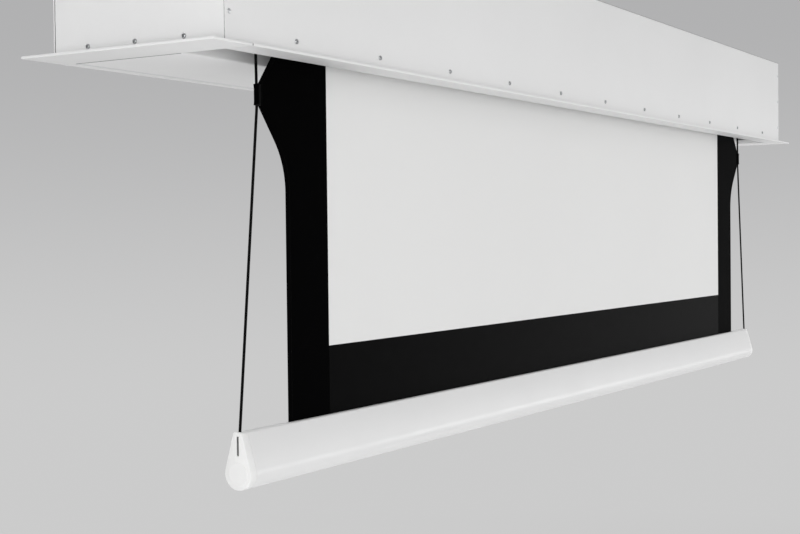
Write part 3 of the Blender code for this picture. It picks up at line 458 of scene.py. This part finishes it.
def sheet_faces(n, m):
    """Faces of a closed sheet: n rows of m points on one side, then as many on the other."""
    faces = []
    for i in range(n - 1):
        for j in range(m - 1):
            a = i * m + j
            faces.append((a, a + 1, a + m + 1, a + m))
            c = a + n * m
            faces.append((c, c + m, c + m + 1, c + 1))
    rim = [(0, j) for j in range(m)] + [(i, m - 1) for i in range(1, n)]
    rim += [(n - 1, j) for j in range(m - 2, -1, -1)] + [(i, 0) for i in range(n - 2, 0, -1)]
    for (i, j), (p, q) in zip(rim, rim[1:] + rim[:1]):
        a, b = i * m + j, p * m + q
        faces.append((a, b, b + n * m, a + n * m))
    return faces


def slab(name, rows, thick, look, y=0.0):
    """A closed sheet from rows of (x, z) points, with a thickness for each point."""
    verts = []
    for face in (-1, 1):
        for row in rows:
            verts += [(x, y + face * thick(x, z) / 2, z) for x, z in row]
    return new_piece(name, verts, sheet_faces(len(rows), len(rows[0])), look, SHEET_CREASE)


def evenly(a, b, n):
    """Values from a to b in n equal steps."""
    return [a + (b - a) * i / n for i in range(n + 1)]


def steps(a, b, step):
    """Values from a to b, no further apart than a step."""
    return evenly(a, b, max(1, ceil(abs(b - a) / step)))


record = frame["record"]
slot_of = {s["node"]: s["material_slot"] for s in record["subparts"]}
body_of = {n: b for b, members in record["behaviour"]["bodies"].items() for n in members}


def carry(obj, body, slot):
    """Put a piece on a body. Its slot is not used."""
    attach(obj, body)
    return obj


def dress(node):
    """A CAD solid again, with its flats merged, its edges rounded and smooth shading."""
    mesh = bpy.data.meshes.new(node + "_finished")
    bm = bmesh.new()
    bm.from_mesh(frame["nodes"][node].data)
    bmesh.ops.remove_doubles(bm, verts=bm.verts, dist=MERGE)
    bmesh.ops.dissolve_limit(bm, angle_limit=FLAT, verts=bm.verts, edges=bm.edges)
    bmesh.ops.recalc_face_normals(bm, faces=bm.faces)
    for face in bm.faces:
        face.smooth = True
    bm.to_mesh(mesh)
    bm.free()
    if "custom_normal" in mesh.attributes:
        mesh.attributes.remove(mesh.attributes["custom_normal"])
    mesh.materials.clear()
    mesh.materials.append(LOOKS[slot_of[node]])
    obj = bpy.data.objects.new(node + "_finished", mesh)
    scene.collection.objects.link(obj)
    bevel = obj.modifiers.new("rounded", "BEVEL")
    bevel.width = EDGES.get(node, EDGE)
    bevel.segments = EDGE_PARTS
    bevel.limit_method = "ANGLE"
    bevel.angle_limit = EDGE_ANGLE
    bevel.harden_normals = True
    bevel.use_clamp_overlap = True
    carry(obj, body_of[node], slot_of[node])
    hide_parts(node)


# Camera, at the photograph's angle

YAW, PITCH, ROLL = radians(58.588), radians(-1.285), radians(-0.645)
LENS_PX, PHOTO_W, SENSOR = 1380.11, 800, 36.0
EYE = (-2.319, -1.040, -0.417)
forward = Vector((sin(YAW) * cos(PITCH), cos(YAW) * cos(PITCH), sin(PITCH)))
right = Vector((cos(YAW), -sin(YAW), 0.0))
upward = right.cross(forward)
tilted = right * cos(ROLL) + upward * sin(ROLL)
upright = upward * cos(ROLL) - right * sin(ROLL)
camera_data = bpy.data.cameras.new("camera")
camera_data.sensor_width = SENSOR
camera_data.lens = LENS_PX / PHOTO_W * SENSOR
camera_data.clip_start, camera_data.clip_end = 0.05, 60.0
camera = bpy.data.objects.new("camera", camera_data)
scene.collection.objects.link(camera)
turn = Matrix((tilted, upright, -forward)).transposed()
camera.matrix_world = Matrix.Translation(EYE) @ turn.to_4x4()
scene.camera = camera

# Floor, backdrop and lights

FLOOR_Z = -2.6
FLOOR_RADII = (1.0, 3.0, 6.0, 9.0, 11.0)
FLOOR_POINTS = 64
FLOOR_PAINT = (0.80, 0.80, 0.80)
FADE_FROM, FADE_TO = 2.5, 8.5  # where the floor fades into the backdrop
BACKDROP = (0.60, 0.60, 0.60)
BACKDROP_HIGH = (0.44, 0.44, 0.445)
HORIZON_LOW, HORIZON_HIGH = -0.12, 0.17  # between them the backdrop turns darker
WORLD_LIGHT = 0.53


def make_floor():
    """A pale round floor that fades into the backdrop where the camera sees it."""
    count = FLOOR_POINTS
    verts, faces = [(0.0, 0.0, FLOOR_Z)], []
    for radius in FLOOR_RADII:
        for k in range(count):
            a = tau * k / count
            verts.append((radius * cos(a), radius * sin(a), FLOOR_Z))
    for k in range(count):
        faces.append((0, 1 + k, 1 + (k + 1) % count))
        for i in range(len(FLOOR_RADII) - 1):
            a, b = 1 + i * count + k, 1 + i * count + (k + 1) % count
            faces.append((a, a + count, b + count, b))
    mesh = bpy.data.meshes.new("floor")
    mesh.from_pydata(verts, [], faces)
    look = Look("floor_paint", 0.8)
    patchy = look.spread(look.noise(1.2, 4.0), 0.0, 1.0)
    look.colour(look.blend(patchy, FLOOR_PAINT, shade(FLOOR_PAINT, 0.9625)))
    look.bump(look.noise(90.0, 3.0), 0.1, 0.001)
    rays = look.new("LightPath").outputs
    seen = look.maths("MAXIMUM", rays["Is Camera Ray"], rays["Is Glossy Ray"])
    seen = look.maths("MAXIMUM", seen, rays["Is Transmission Ray"])
    length = look.new("VectorMath")
    length.operation = "LENGTH"
    look.put(length.inputs[0], look.stretched((1.0, 1.0, 0.0)))
    far = look.spread(length.outputs["Value"], 0.0, 1.0, FADE_FROM, FADE_TO)
    fade = look.new("MixShader")
    glow = look.new("Emission")
    glow.inputs["Color"].default_value = (*BACKDROP, 1.0)
    look.put(fade.inputs[0], look.maths("MULTIPLY", seen, far))
    look.put(fade.inputs[1], look.shader.outputs[0])
    look.put(fade.inputs[2], glow.outputs[0])
    look.put(look.tree.nodes["Material Output"].inputs["Surface"], fade.outputs[0])
    mesh.materials.append(look.mat)
    obj = bpy.data.objects.new("floor", mesh)
    scene.collection.objects.link(obj)


def make_world():
    """Even light all round, with a backdrop behind it that only the camera and glass see."""
    world = bpy.data.worlds.new("studio")
    scene.world = world
    world.use_nodes = True
    nodes, links = world.node_tree.nodes, world.node_tree.links
    light = nodes["Background"]
    light.inputs["Color"].default_value = (1.0, 1.0, 1.0, 1.0)
    light.inputs["Strength"].default_value = WORLD_LIGHT
    back = nodes.new("ShaderNodeBackground")
    way = nodes.new("ShaderNodeSeparateXYZ")
    links.new(nodes.new("ShaderNodeTexCoord").outputs["Generated"], way.inputs[0])
    rise = nodes.new("ShaderNodeMapRange")
    rise.interpolation_type = "SMOOTHSTEP"
    rise.inputs["From Min"].default_value = HORIZON_LOW
    rise.inputs["From Max"].default_value = HORIZON_HIGH
    links.new(way.outputs["Z"], rise.inputs["Value"])
    tone = nodes.new("ShaderNodeMix")
    tone.data_type = "RGBA"
    low, high = [s for s in tone.inputs if s.type == "RGBA"]
    low.default_value, high.default_value = (*BACKDROP, 1.0), (*BACKDROP_HIGH, 1.0)
    links.new(rise.outputs["Result"], tone.inputs["Factor"])
    links.new(next(s for s in tone.outputs if s.type == "RGBA"), back.inputs["Color"])
    rays = nodes.new("ShaderNodeLightPath")
    either = None
    for name in ("Is Camera Ray", "Is Glossy Ray", "Is Transmission Ray"):
        if either is None:
            either = rays.outputs[name]
            continue
        node = nodes.new("ShaderNodeMath")
        node.operation = "MAXIMUM"
        links.new(either, node.inputs[0])
        links.new(rays.outputs[name], node.inputs[1])
        either = node.outputs[0]
    mix = nodes.new("ShaderNodeMixShader")
    links.new(either, mix.inputs[0])
    links.new(light.outputs[0], mix.inputs[1])
    links.new(back.outputs[0], mix.inputs[2])
    links.new(mix.outputs[0], nodes["World Output"].inputs["Surface"])


def softbox(name, at, to, size, power, spread=180.0):
    """A soft lamp at a point, facing another point, with its spread in degrees."""
    data = bpy.data.lights.new(name, "AREA")
    data.shape = "RECTANGLE"
    data.size, data.size_y = size
    data.energy = power
    data.spread = radians(spread)
    lamp = bpy.data.objects.new(name, data)
    scene.collection.objects.link(lamp)
    lamp.location = at
    lamp.rotation_mode = "QUATERNION"
    lamp.rotation_quaternion = (Vector(to) - Vector(at)).to_track_quat("-Z", "Y")
    lamp.visible_camera = False


make_floor()
make_world()
softbox("key", (-7.9, -3.9, -1.4), (-0.3, 0.0, -0.4), (4.0, 4.0), 370.0)
softbox("strip", (3.6, -3.4, -0.85), (0.0, 0.0, -0.68), (4.0, 1.5), 22.0, 100.0)
softbox("bounce", (0.0, -0.5, -2.45), (0.0, -0.5, 0.0), (6.0, 5.0), 9.0)
softbox("rear", (1.5, 6.5, 4.5), (0.0, 0.0, -0.4), (4.0, 4.0), 350.0)


# The motor's lead, a cord from the motor's head into the terminal box


def lead_points():
    """Straight back from the motor's head, a quarter turn, then into the box, with a slight sag."""
    flat = [(LEAD_X, LEAD_START + (LEAD_TURN - LEAD_START) * i / LEAD_STEPS) for i in range(LEAD_STEPS)]
    for i in range(LEAD_STEPS + 1):
        a = radians(180.0 - 90.0 * i / LEAD_STEPS)
        flat.append((LEAD_X + LEAD_BEND + LEAD_BEND * cos(a), LEAD_TURN + LEAD_BEND * sin(a)))
    flat.append((LEAD_END_X, BOX_Y))
    out = []
    for i, (u, v) in enumerate(flat):
        share = i / (len(flat) - 1)
        rise = share * share * (3 - 2 * share) * (BOX_Z - ROLLER_Z)
        out.append(Vector((-u, v, ROLLER_Z + rise - LEAD_SAG * sin(pi * share) ** 2)))
    return out


def make_lead():
    """The lead as a tube."""
    points = lead_points()
    lead = tube_piece("motor_cable", points, LEAD_D / 2, LEAD_CORNERS, "black_plastic")
    carry(lead, "casing", "black_plastic")
    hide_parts("motor_lead")


make_lead()


# The hanging cloth

# Distances between mesh points, and counts of them
CLOTH_STEP = 0.08
FIELD_ROW = 0.008
BORDER_ROW = 0.006
LOW_ROW = 0.012
SLEEVE_ROW = 0.0025
BORDER_COLUMNS = 6
SLEEVE_POINTS = 24

# The side borders' hem, with its thicknesses counted in those of the cloth
HEM = 0.008
HEM_STEP = 0.0004  # over which it rises from the cloth
HEM_EDGE = 0.0003  # over which it thins at the border's edge
HEM_HOLD = 0.0006  # kept level beside both
HEM_THICK = 1.9
HEM_EDGE_THICK = 1.2
TOUCH = 0.0001  # places nearer than this are the same

# The sleeve on the ear: a round with a tail toward the cloth
SLEEVE_LIP = 0.14  # how much wider its two mouths are
SLEEVE_LIP_RISE = 0.004
SLEEVE_TAIL = 0.006  # how far its tail reaches toward the cloth
SLEEVE_TAIL_HALF = 0.0007  # half the tail's thickness
SLEEVE_ROUND = 0.25  # cosine at which the round turns into the tail

# The welded bands
BAND = 0.006  # half their width
BAND_T = 0.00025
BAND_Y = (FABRIC_T + BAND_T) / 2
BAND_TOP = 0.001  # how far below the roll they end


def ear_x(z):
    """How far out the side border reaches at a height: a round, then a straight edge."""
    up = z - EAR_LOW_Z if z < SLEEVE_LOW else SLEEVE_TOP + EAR_HALF - z
    up = min(up, EAR_HALF)
    if up <= 0.0:
        return FABRIC_HALF
    if up <= EAR_TURN_UP:
        return FABRIC_HALF + EAR_R - sqrt(EAR_R * EAR_R - up * up)
    return FABRIC_HALF + EAR_TURN_OUT + (up - EAR_TURN_UP) * tan(EAR_LEAN)


def make_field():
    """The white viewing cloth, from the roll down to the bottom border."""
    inside = IMAGE_HALF - GAP / 2
    heights = steps(SEAM_Z + GAP / 2, FABRIC_TOP, FIELD_ROW)
    rows = [[(x, z) for x in steps(-inside, inside, CLOTH_STEP)] for z in heights]
    field = slab("screen_cloth", rows, lambda x, z: FABRIC_T, "white_fabric")
    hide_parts("viewing_fabric")
    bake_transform(field)


def border_row(z, side):
    """Points across a side border, close together where its hem steps up and ends."""
    edge = ear_x(z)
    inner = IMAGE_HALF + GAP / 2
    step = edge - HEM
    xs = evenly(inner, step - HEM_HOLD - HEM_STEP, BORDER_COLUMNS)
    xs += [step - HEM_STEP, step, step + HEM_HOLD]
    xs += [edge - HEM_HOLD - HEM_EDGE, edge - HEM_EDGE, edge]
    return [(side * x, z) for x in xs]


def border_thick(side):
    """The side border's thickness at a point: more in its hem."""
    def thick(x, z):
        away = ear_x(z) - side * x
        if away < TOUCH:
            return FABRIC_T * HEM_EDGE_THICK
        return FABRIC_T * HEM_THICK if away < HEM + TOUCH else FABRIC_T
    return thick


def sleeve_loop(side):
    """The cloth tube on the ear's tip: a drop-shaped loop round the cord."""
    rings = []
    outer, tail = CORD_R + GAP + SLEEVE_WALL, SLEEVE_IN - SLEEVE_TAIL
    for z in steps(SLEEVE_LOW, SLEEVE_TOP, SLEEVE_ROW):
        end = min(z - SLEEVE_LOW, SLEEVE_TOP - z)
        swell = outer * (1.0 + SLEEVE_LIP * max(0.0, 1.0 - end / SLEEVE_LIP_RISE))
        ring = []
        for k in range(SLEEVE_POINTS):
            a = tau * k / SLEEVE_POINTS
            x, y = EAR_X + swell * cos(a), swell * sin(a)
            if cos(a) < -SLEEVE_ROUND:
                pull = (-cos(a) - SLEEVE_ROUND) / (1.0 - SLEEVE_ROUND)
                x = x + (tail - x) * pull
                y = y * (1.0 - pull) + (SLEEVE_TAIL_HALF if y > 0 else -SLEEVE_TAIL_HALF) * pull
            ring.append(Vector((side * x, y, z)))
        rings.append(ring)
    return rings


def weld_band(name, low_x, high_x, low_z, high_z):
    """A tape welded over a joint on the cloth's back."""
    across = steps(low_x, high_x, CLOTH_STEP)
    rows = [[(x, z) for x in across] for z in steps(low_z, high_z, BORDER_ROW)]
    band = slab(name, rows, lambda x, z: BAND_T, "black_fabric", BAND_Y)
    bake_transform(band)
    return band


def make_border(side_name, side):
    """A black side border with its ear, the ear's sleeve, and the band that joins it to the field."""
    marks = [FABRIC_LOW, SEAM_Z, EAR_LOW_Z, SLEEVE_LOW, SLEEVE_TOP, SLEEVE_TOP + EAR_HALF, FABRIC_TOP]
    heights = []
    for a, b in zip(marks, marks[1:]):
        heights += steps(a, b, BORDER_ROW)[:-1]
    heights.append(FABRIC_TOP)
    rows = [border_row(z, side) for z in heights]
    border = slab(f"side_cloth_{side_name}", rows, border_thick(side), "black_fabric")
    area = 0.0
    for a, b in zip(heights, heights[1:]):
        area += (ear_x(a) + ear_x(b)) / 2 * (b - a) - IMAGE_HALF * (b - a)
    loop_verts, loop_faces = rings_to_solid(sleeve_loop(side))
    name = f"cord_sleeve_{side_name}"
    loop = new_piece(name, loop_verts, loop_faces, "black_fabric", SLEEVE_CREASE)
    joint = side * IMAGE_HALF
    top = FABRIC_TOP - BAND_TOP
    band = weld_band(f"weld_band_{side_name}", joint - BAND, joint + BAND, FABRIC_LOW, top)
    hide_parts(f"side_border_{side_name}")
    for obj in (border, loop):
        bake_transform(obj)


def make_bottom():
    """The bottom border, down into the bar's pocket, and the band that joins it to the field."""
    inside = IMAGE_HALF - GAP / 2
    heights = steps(FABRIC_LOW, SEAM_Z - GAP / 2, LOW_ROW)
    rows = [[(x, z) for x in steps(-inside, inside, CLOTH_STEP)] for z in heights]
    low = slab("low_cloth", rows, lambda x, z: FABRIC_T, "border_low")
    carry(low, "weight_bar", "black_fabric")
    band = weld_band("weld_band_low", BAND - inside, inside - BAND, SEAM_Z - BAND, SEAM_Z + BAND)
    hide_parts("bottom_border")


CORD_CORNERS = 12
CORD_STEP = 0.005
TAIL_STEP = 0.003
BEND_STEPS = 8


def cord_route(side):
    """The cord's line: down through the ear's sleeve, out to the bar's end, and round its bend."""
    bend_z = BAR_Z - CORD_DOWN
    points = [
        (EAR_X, ROLLER_Y - CORD_WRAP_R, ROLLER_Z - 2 * CORD_R - GAP),
        (EAR_X, 0.0, SLEEVE_TOP + 2 * CORD_R),
        (EAR_X, 0.0, SLEEVE_LOW - 2 * CORD_R),
        (CORD_BAR_X, 0.0, BAR_Z - 2 * CORD_R),
    ]
    for i in range(BEND_STEPS + 1):
        a = radians(-90.0 * i / BEND_STEPS)
        points.append((CORD_BAR_X - CORD_BEND + CORD_BEND * cos(a), 0.0, bend_z + CORD_BEND * sin(a)))
    return spaced([(side * x, y, z) for x, y, z in points], CORD_STEP)


def make_cord(side_name, side):
    """The cord down to its bend in the bar, and its tail toward the anchor."""
    route = cord_route(side)
    tail_end = Vector((side * (ANCHOR_OUT + GAP), 0.0, SPRING_Z))
    cord = tube_piece(f"cord_{side_name}", route, CORD_R, CORD_CORNERS, "cord_black")
    tail_route = spaced([route[-1], tail_end], TAIL_STEP)
    tail = tube_piece(f"cord_tail_{side_name}", tail_route, CORD_R, CORD_CORNERS, "cord_black")
    for obj in (cord, tail):
        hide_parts(f"tension_cord_{side_name}")
    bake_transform(cord)
    tuple(route[-1])
    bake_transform(tail)


# What is wound on the roller, and the springs

ROLL_STEP = 0.2  # between points along the roller
ROLL_PER_TURN = 72
CORD_PER_TURN = 48
CURL_POINTS = 16
WIRE_CORNERS = 8


def spiral():
    """The wound cloth's middle line as (y, z) points, from its outer end inward."""
    n = ceil(TURNS * ROLL_PER_TURN)
    out = []
    for share in evenly(0.0, TURNS, n):
        a, r = tau * share, WRAP_R - LAYER * share
        out.append((ROLLER_Y - r * cos(a), ROLLER_Z + r * sin(a)))
    return out


def make_roll():
    """The field and both borders as wound on the roller."""
    line = spiral()
    inside = IMAGE_HALF - GAP / 2
    parts = (
        ("rolled_cloth", -inside, inside, "white_fabric"),
        ("rolled_border_left", -FABRIC_HALF, -IMAGE_HALF - GAP / 2, "black_fabric"),
        ("rolled_border_right", IMAGE_HALF + GAP / 2, FABRIC_HALF, "black_fabric"),
    )
    for name, x0, x1, look in parts:
        xs = steps(x0, x1, ROLL_STEP)
        verts = []
        for half in (-FABRIC_T / 2, FABRIC_T / 2):
            for y, z in line:
                out = Vector((0.0, y - ROLLER_Y, z - ROLLER_Z)).normalized() * half
                verts += [(x, y + out.y, z + out.z) for x in xs]
        obj = new_piece(name, verts, sheet_faces(len(line), len(xs)), look, SHEET_CREASE)
        carry(obj, "roller", look)
        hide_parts("fabric_roll")


def make_winding(side_name, side):
    """The cord as wound beside the cloth, with its end turned in."""
    n = ceil(TURNS * CORD_PER_TURN)
    points = [(side * EAR_X, ROLLER_Y - CORD_WRAP_R, ROLLER_Z - 2 * CORD_R)]
    for i in range(n + 1):
        a = tau * TURNS * i / n
        x = EAR_X + CORD_PITCH * TURNS * i / n
        points.append((side * x, ROLLER_Y - CORD_WRAP_R * cos(a), ROLLER_Z + CORD_WRAP_R * sin(a)))
    x, y, z = points[-1]
    end = tau * TURNS
    points.append((x, y + 2 * CORD_R * sin(end), z + 2 * CORD_R * cos(end)))
    coil = tube_piece(f"wound_cord_{side_name}", points, CORD_R, CORD_CORNERS, "cord_black")
    carry(coil, "roller", "cord_black")
    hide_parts(f"cord_winding_{side_name}")


def make_spring(side_name, side):
    """The spring between its stop and the cord's anchor, with a straight end on each."""
    outer, inner = ANCHOR_IN - GAP, STOP_OUT + GAP
    n = SPRING_CURLS * CURL_POINTS
    length = outer - inner - 2 * SPRING_WIRE
    points = [(side * outer, SPRING_R, SPRING_Z)]
    for i in range(n + 1):
        a = tau * i / CURL_POINTS
        x = outer - SPRING_WIRE - length * i / n
        points.append((side * x, SPRING_R * cos(a), SPRING_Z + SPRING_R * sin(a)))
    points.append((side * inner, points[-1][1], points[-1][2]))
    spring = tube_piece(f"spring_{side_name}", points, SPRING_WIRE / 2, WIRE_CORNERS, "steel")
    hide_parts(f"tension_spring_{side_name}")
    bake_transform(spring)


make_field()
make_bottom()
make_roll()
for side_name, side in SIDES:
    make_border(side_name, side)
    make_cord(side_name, side)
    make_winding(side_name, side)
    make_spring(side_name, side)

# Small fasteners, each kind on each body as one piece, and dark strips that paint shade

ROUND_POINTS = 24
CROSS_ARM = 0.3  # half the angle of an arm, in radians
CROSS_WAIST = 0.42


def ring_point(shape, radius, k):
    """A point of a round, six-sided or cross-shaped ring."""
    a = tau * k / ROUND_POINTS
    if shape == "hex":
        radius *= cos(pi / 6) / cos((a % (pi / 3)) - pi / 6)
    elif shape == "cross":
        away = abs(((a + pi / 4) % (pi / 2)) - pi / 4)
        radius *= 1.0 if away < CROSS_ARM else CROSS_WAIST
    return radius * cos(a), radius * sin(a)


FOOT = -0.0003  # a hair below the face that a fastener sits on

# Turned outlines from foot to tip, as shares of the height and the radius
PAN_SCREW = [
    (FOOT, 1.00, "round"), (0.30, 1.00, "round"), (0.62, 0.88, "round"), (0.85, 0.66, "round"),
    (0.85, 0.58, "cross"), (0.35, 0.46, "cross"),
]
RIVET = [
    (FOOT, 1.00, "round"), (0.20, 1.00, "round"), (0.55, 0.88, "round"), (0.85, 0.60, "round"),
    (1.00, 0.34, "round"), (0.98, 0.28, "round"), (0.70, 0.24, "round"),
]
HEX_BOLT = [
    (FOOT, 1.62, "round"), (0.34, 1.62, "round"), (0.36, 1.55, "round"), (0.36, 1.00, "hex"),
    (1.40, 1.00, "hex"), (1.55, 0.88, "round"),
]
KNOB = [
    (-0.35, 1.00, "round"), (0.85, 1.00, "round"), (1.00, 0.88, "round"), (1.00, 0.62, "hex"),
    (0.45, 0.58, "hex"),
]
DISC = [(FOOT, 1.00, "round"), (0.60, 1.00, "round"), (1.00, 0.985, "round")]

# Each kind's outline, radius and height
WALL_RIVET = (RIVET, 0.0031, 0.0014)
TRIM_SCREW = (PAN_SCREW, 0.0032, 0.0022)
CATCH_SCREW = (PAN_SCREW, 0.0021, 0.0016)
HINGE_SCREW = (PAN_SCREW, 0.0023, 0.0012)
LID_SCREW = (PAN_SCREW, 0.0026, 0.0018)
FRAME_BOLT = (HEX_BOLT, 0.0040, 0.0026)
ADJUSTER = (KNOB, 0.0042, 0.0026)
CAP_DISC = (DISC, 0.0142, 0.0005)

# Where each kind sits
FORWARD, BACKWARD, UP, DOWN = (0, -1, 0), (0, 1, 0), (0, 0, 1), (0, 0, -1)
WALLS = (("front", CASING_FRONT, FORWARD), ("rear", CASING_REAR, BACKWARD))
RIVET_X = 1.080
RIVET_HEIGHTS = (-0.035, -0.098, -0.160)
END_SCREW_DEPTHS = (0.0, 0.075, 0.150)
END_SCREW_Z = -0.184
HANGER_T = 0.003
HANGER_DEPTHS = (-0.020, 0.1665)
HANGER_BOLT_OFF = 0.010
HANGER_BOLT_Z = -0.048
BRACKET_X = 1.035
BRACKET_BOLT_OFF = 0.020
BRACKET_UNDER = -0.0048
CATCH_X = 1.0685
CATCH_DEPTHS = (0.0505, 0.0625)
CATCH_TOP = -0.1922
RAIL_SCREWS = [-0.95 + 0.19 * i for i in range(11)]
RAIL_SCREW_Z = -0.180
HINGE_SCREWS = [-0.975 + 0.15 * i for i in range(14)]
PANEL_LEAF = (0.1905, -0.1937)
FIXED_LEAF = (0.2022, -0.184)
LID_DEPTHS = (0.139, 0.181)
LID_HEIGHTS = (-0.098, -0.042)
ADJUSTER_X = -0.9998
ADJUSTER_OFF = 0.008


def studs(name, body, slot, kind, spots, outward):
    """Many small turned pieces in one mesh, all facing the same way."""
    profile, radius, height = kind
    way = Vector(outward).normalized()
    side = way.orthogonal().normalized()
    over = way.cross(side)
    verts, faces = [], []
    for spot in spots:
        rings = []
        for up, wide, shape in profile:
            ring = []
            for k in range(ROUND_POINTS):
                u, v = ring_point(shape, radius * wide, k)
                ring.append(Vector(spot) + way * height * up + side * u + over * v)
            rings.append(ring)
        more, rims = rings_to_solid(rings)
        faces += [tuple(i + len(verts) for i in face) for face in rims]
        verts += more
    carry(new_piece(name, verts, faces, slot, SMALL_CREASE), body, slot)


STRIP_POINTS = 16
STRIP_SOFT = 6  # its ends narrow over its width divided by this
STRIP_CLEAR = 0.0001
SEAM_RECESS = 0.0006  # how far its front and rear runs lie back from the trim's face
SEAM_PROUD = 0.0003  # how far the run beside the panel stands out


def strip(name, body, slot, start, end, wide, tall):
    """A thin upright strip between two points, with a rounded outline and softened ends."""
    start, end = Vector(start), Vector(end)
    way = (end - start).normalized()
    side = way.cross(Vector((0.0, 0.0, 1.0)))
    soft = wide / STRIP_SOFT
    rings = []
    for spot, inset in ((start, soft), (start + way * soft, 0.0), (end - way * soft, 0.0), (end, soft)):
        half = wide / 2 - inset
        straight = (tall - wide) / 2
        ring = []
        for k in range(STRIP_POINTS):
            a = tau * (k + 0.5) / STRIP_POINTS
            up = half * sin(a) + (straight if sin(a) > 0 else -straight)
            ring.append(spot + side * half * cos(a) + Vector((0.0, 0.0, up)))
        rings.append(ring)
    verts, faces = rings_to_solid(rings)
    carry(new_piece(name, verts, faces, slot, SMALL_CREASE), body, slot)


def make_shade_strips():
    """Dark strips that paint the shadow in the trim's end seams, and a dark piece that paints the shade
    in each end cap's slit.
    """
    slit_z = BAR_Z - (SLIT_TOP + SLIT_BOTTOM) / 2
    runs = (
        ("front", TRIM_FRONT + STRIP_CLEAR, SLOT_FRONT, SEAM_RECESS),
        ("panel", SLOT_REAR, HINGE_Y, -SEAM_PROUD),
        ("rear", HINGE_Y + GAP, TRIM_REAR - STRIP_CLEAR, SEAM_RECESS),
    )
    for side_name, side in SIDES:
        seam_x = side * (SEAM_X - SEAM / 2)
        # Painted shadow: a dark strip in the seam beside each end plate
        for place, front, rear, rise in runs:
            low, high = TRIM_Z + rise, TRIM_Z + TRIM_T - SEAM_PROUD
            ends = [(seam_x, y, (low + high) / 2) for y in (front, rear)]
            name = f"seam_shadow_{place}_{side_name}"
            strip(name, "casing", "black_plastic", *ends, SEAM - 2 * STRIP_CLEAR, high - low)
        # Painted shade: a dark piece filling the end cap's slit below its face
        ends = [(side * x, 0.0, slit_z) for x in (CORD_BAR_X + CORD_R + GAP, BAR_HALF - 2 * GAP)]
        wide, tall = SLIT_WIDTH - STRIP_CLEAR, SLIT_BOTTOM - SLIT_TOP - 2 * STRIP_CLEAR
        strip(f"slit_shade_{side_name}", "weight_bar", "black_plastic", *ends, wide, tall)


def make_end_fasteners(side_name, side):
    """Rivets, screws and bolts at one end of the casing, and the disc on the bar's end cap."""
    out = (side, 0, 0)
    for wall, y, way in WALLS:
        spots = [(side * RIVET_X, y, z) for z in RIVET_HEIGHTS]
        studs(f"rivets_{wall}_{side_name}", "casing", "aluminium", WALL_RIVET, spots, way)
    spots = [(side * CASING_HALF, y, END_SCREW_Z) for y in END_SCREW_DEPTHS]
    studs(f"trim_screws_{side_name}", "casing", "steel", TRIM_SCREW, spots, out)
    x = side * (CASING_HALF + GAP + HANGER_T)
    pair = (-HANGER_BOLT_OFF, HANGER_BOLT_OFF)
    spots = [(x, y + dy, HANGER_BOLT_Z) for y in HANGER_DEPTHS for dy in pair]
    studs(f"hanger_bolts_{side_name}", "casing", "steel", FRAME_BOLT, spots, out)
    pair = (-BRACKET_BOLT_OFF, BRACKET_BOLT_OFF)
    spots = [(side * BRACKET_X, ROLLER_Y + dy, BRACKET_UNDER) for dy in pair]
    studs(f"bracket_bolts_{side_name}", "casing", "steel", FRAME_BOLT, spots, DOWN)
    spots = [(side * CATCH_X, y, CATCH_TOP) for y in CATCH_DEPTHS]
    studs(f"catch_screws_{side_name}", "casing", "steel", CATCH_SCREW, spots, UP)
    spots = [(side * BAR_HALF, 0.0, BAR_ROUND_Z)]
    studs(f"cap_disc_{side_name}", "weight_bar", "white_plastic", CAP_DISC, spots, out)


def make_fasteners():
    """Both ends' fasteners, then those along the casing, the hinge, the box and the motor's head."""
    for side_name, side in SIDES:
        make_end_fasteners(side_name, side)
    for wall, y, way in WALLS:
        spots = [(x, y, RAIL_SCREW_Z) for x in RAIL_SCREWS]
        studs(f"rail_screws_{wall}", "casing", "steel", TRIM_SCREW, spots, way)
    spots = [(x, *PANEL_LEAF) for x in HINGE_SCREWS]
    studs("hinge_screws_panel", "service_panel", "steel", HINGE_SCREW, spots, UP)
    spots = [(x, *FIXED_LEAF) for x in HINGE_SCREWS]
    studs("hinge_screws_rail", "casing", "steel", HINGE_SCREW, spots, FORWARD)
    spots = [(BOX_LID_X, y, z) for y in LID_DEPTHS for z in LID_HEIGHTS]
    studs("lid_screws", "casing", "steel", LID_SCREW, spots, (1, 0, 0))
    low = ROLLER_Z - sqrt(MOTOR_HEAD_R ** 2 - ADJUSTER_OFF ** 2)
    spots = [(ADJUSTER_X, ROLLER_Y + dy, low) for dy in (-ADJUSTER_OFF, ADJUSTER_OFF)]
    studs("limit_adjusters", "casing", "grey_plastic", ADJUSTER, spots, DOWN)


make_shade_strips()
make_fasteners()

# The rigid pieces again, with rounded edges

replaced = [n for n in frame["nodes"] if frame["nodes"][n].hide_render]
for node in frame["nodes"]:
    if node not in replaced:
        dress(node)
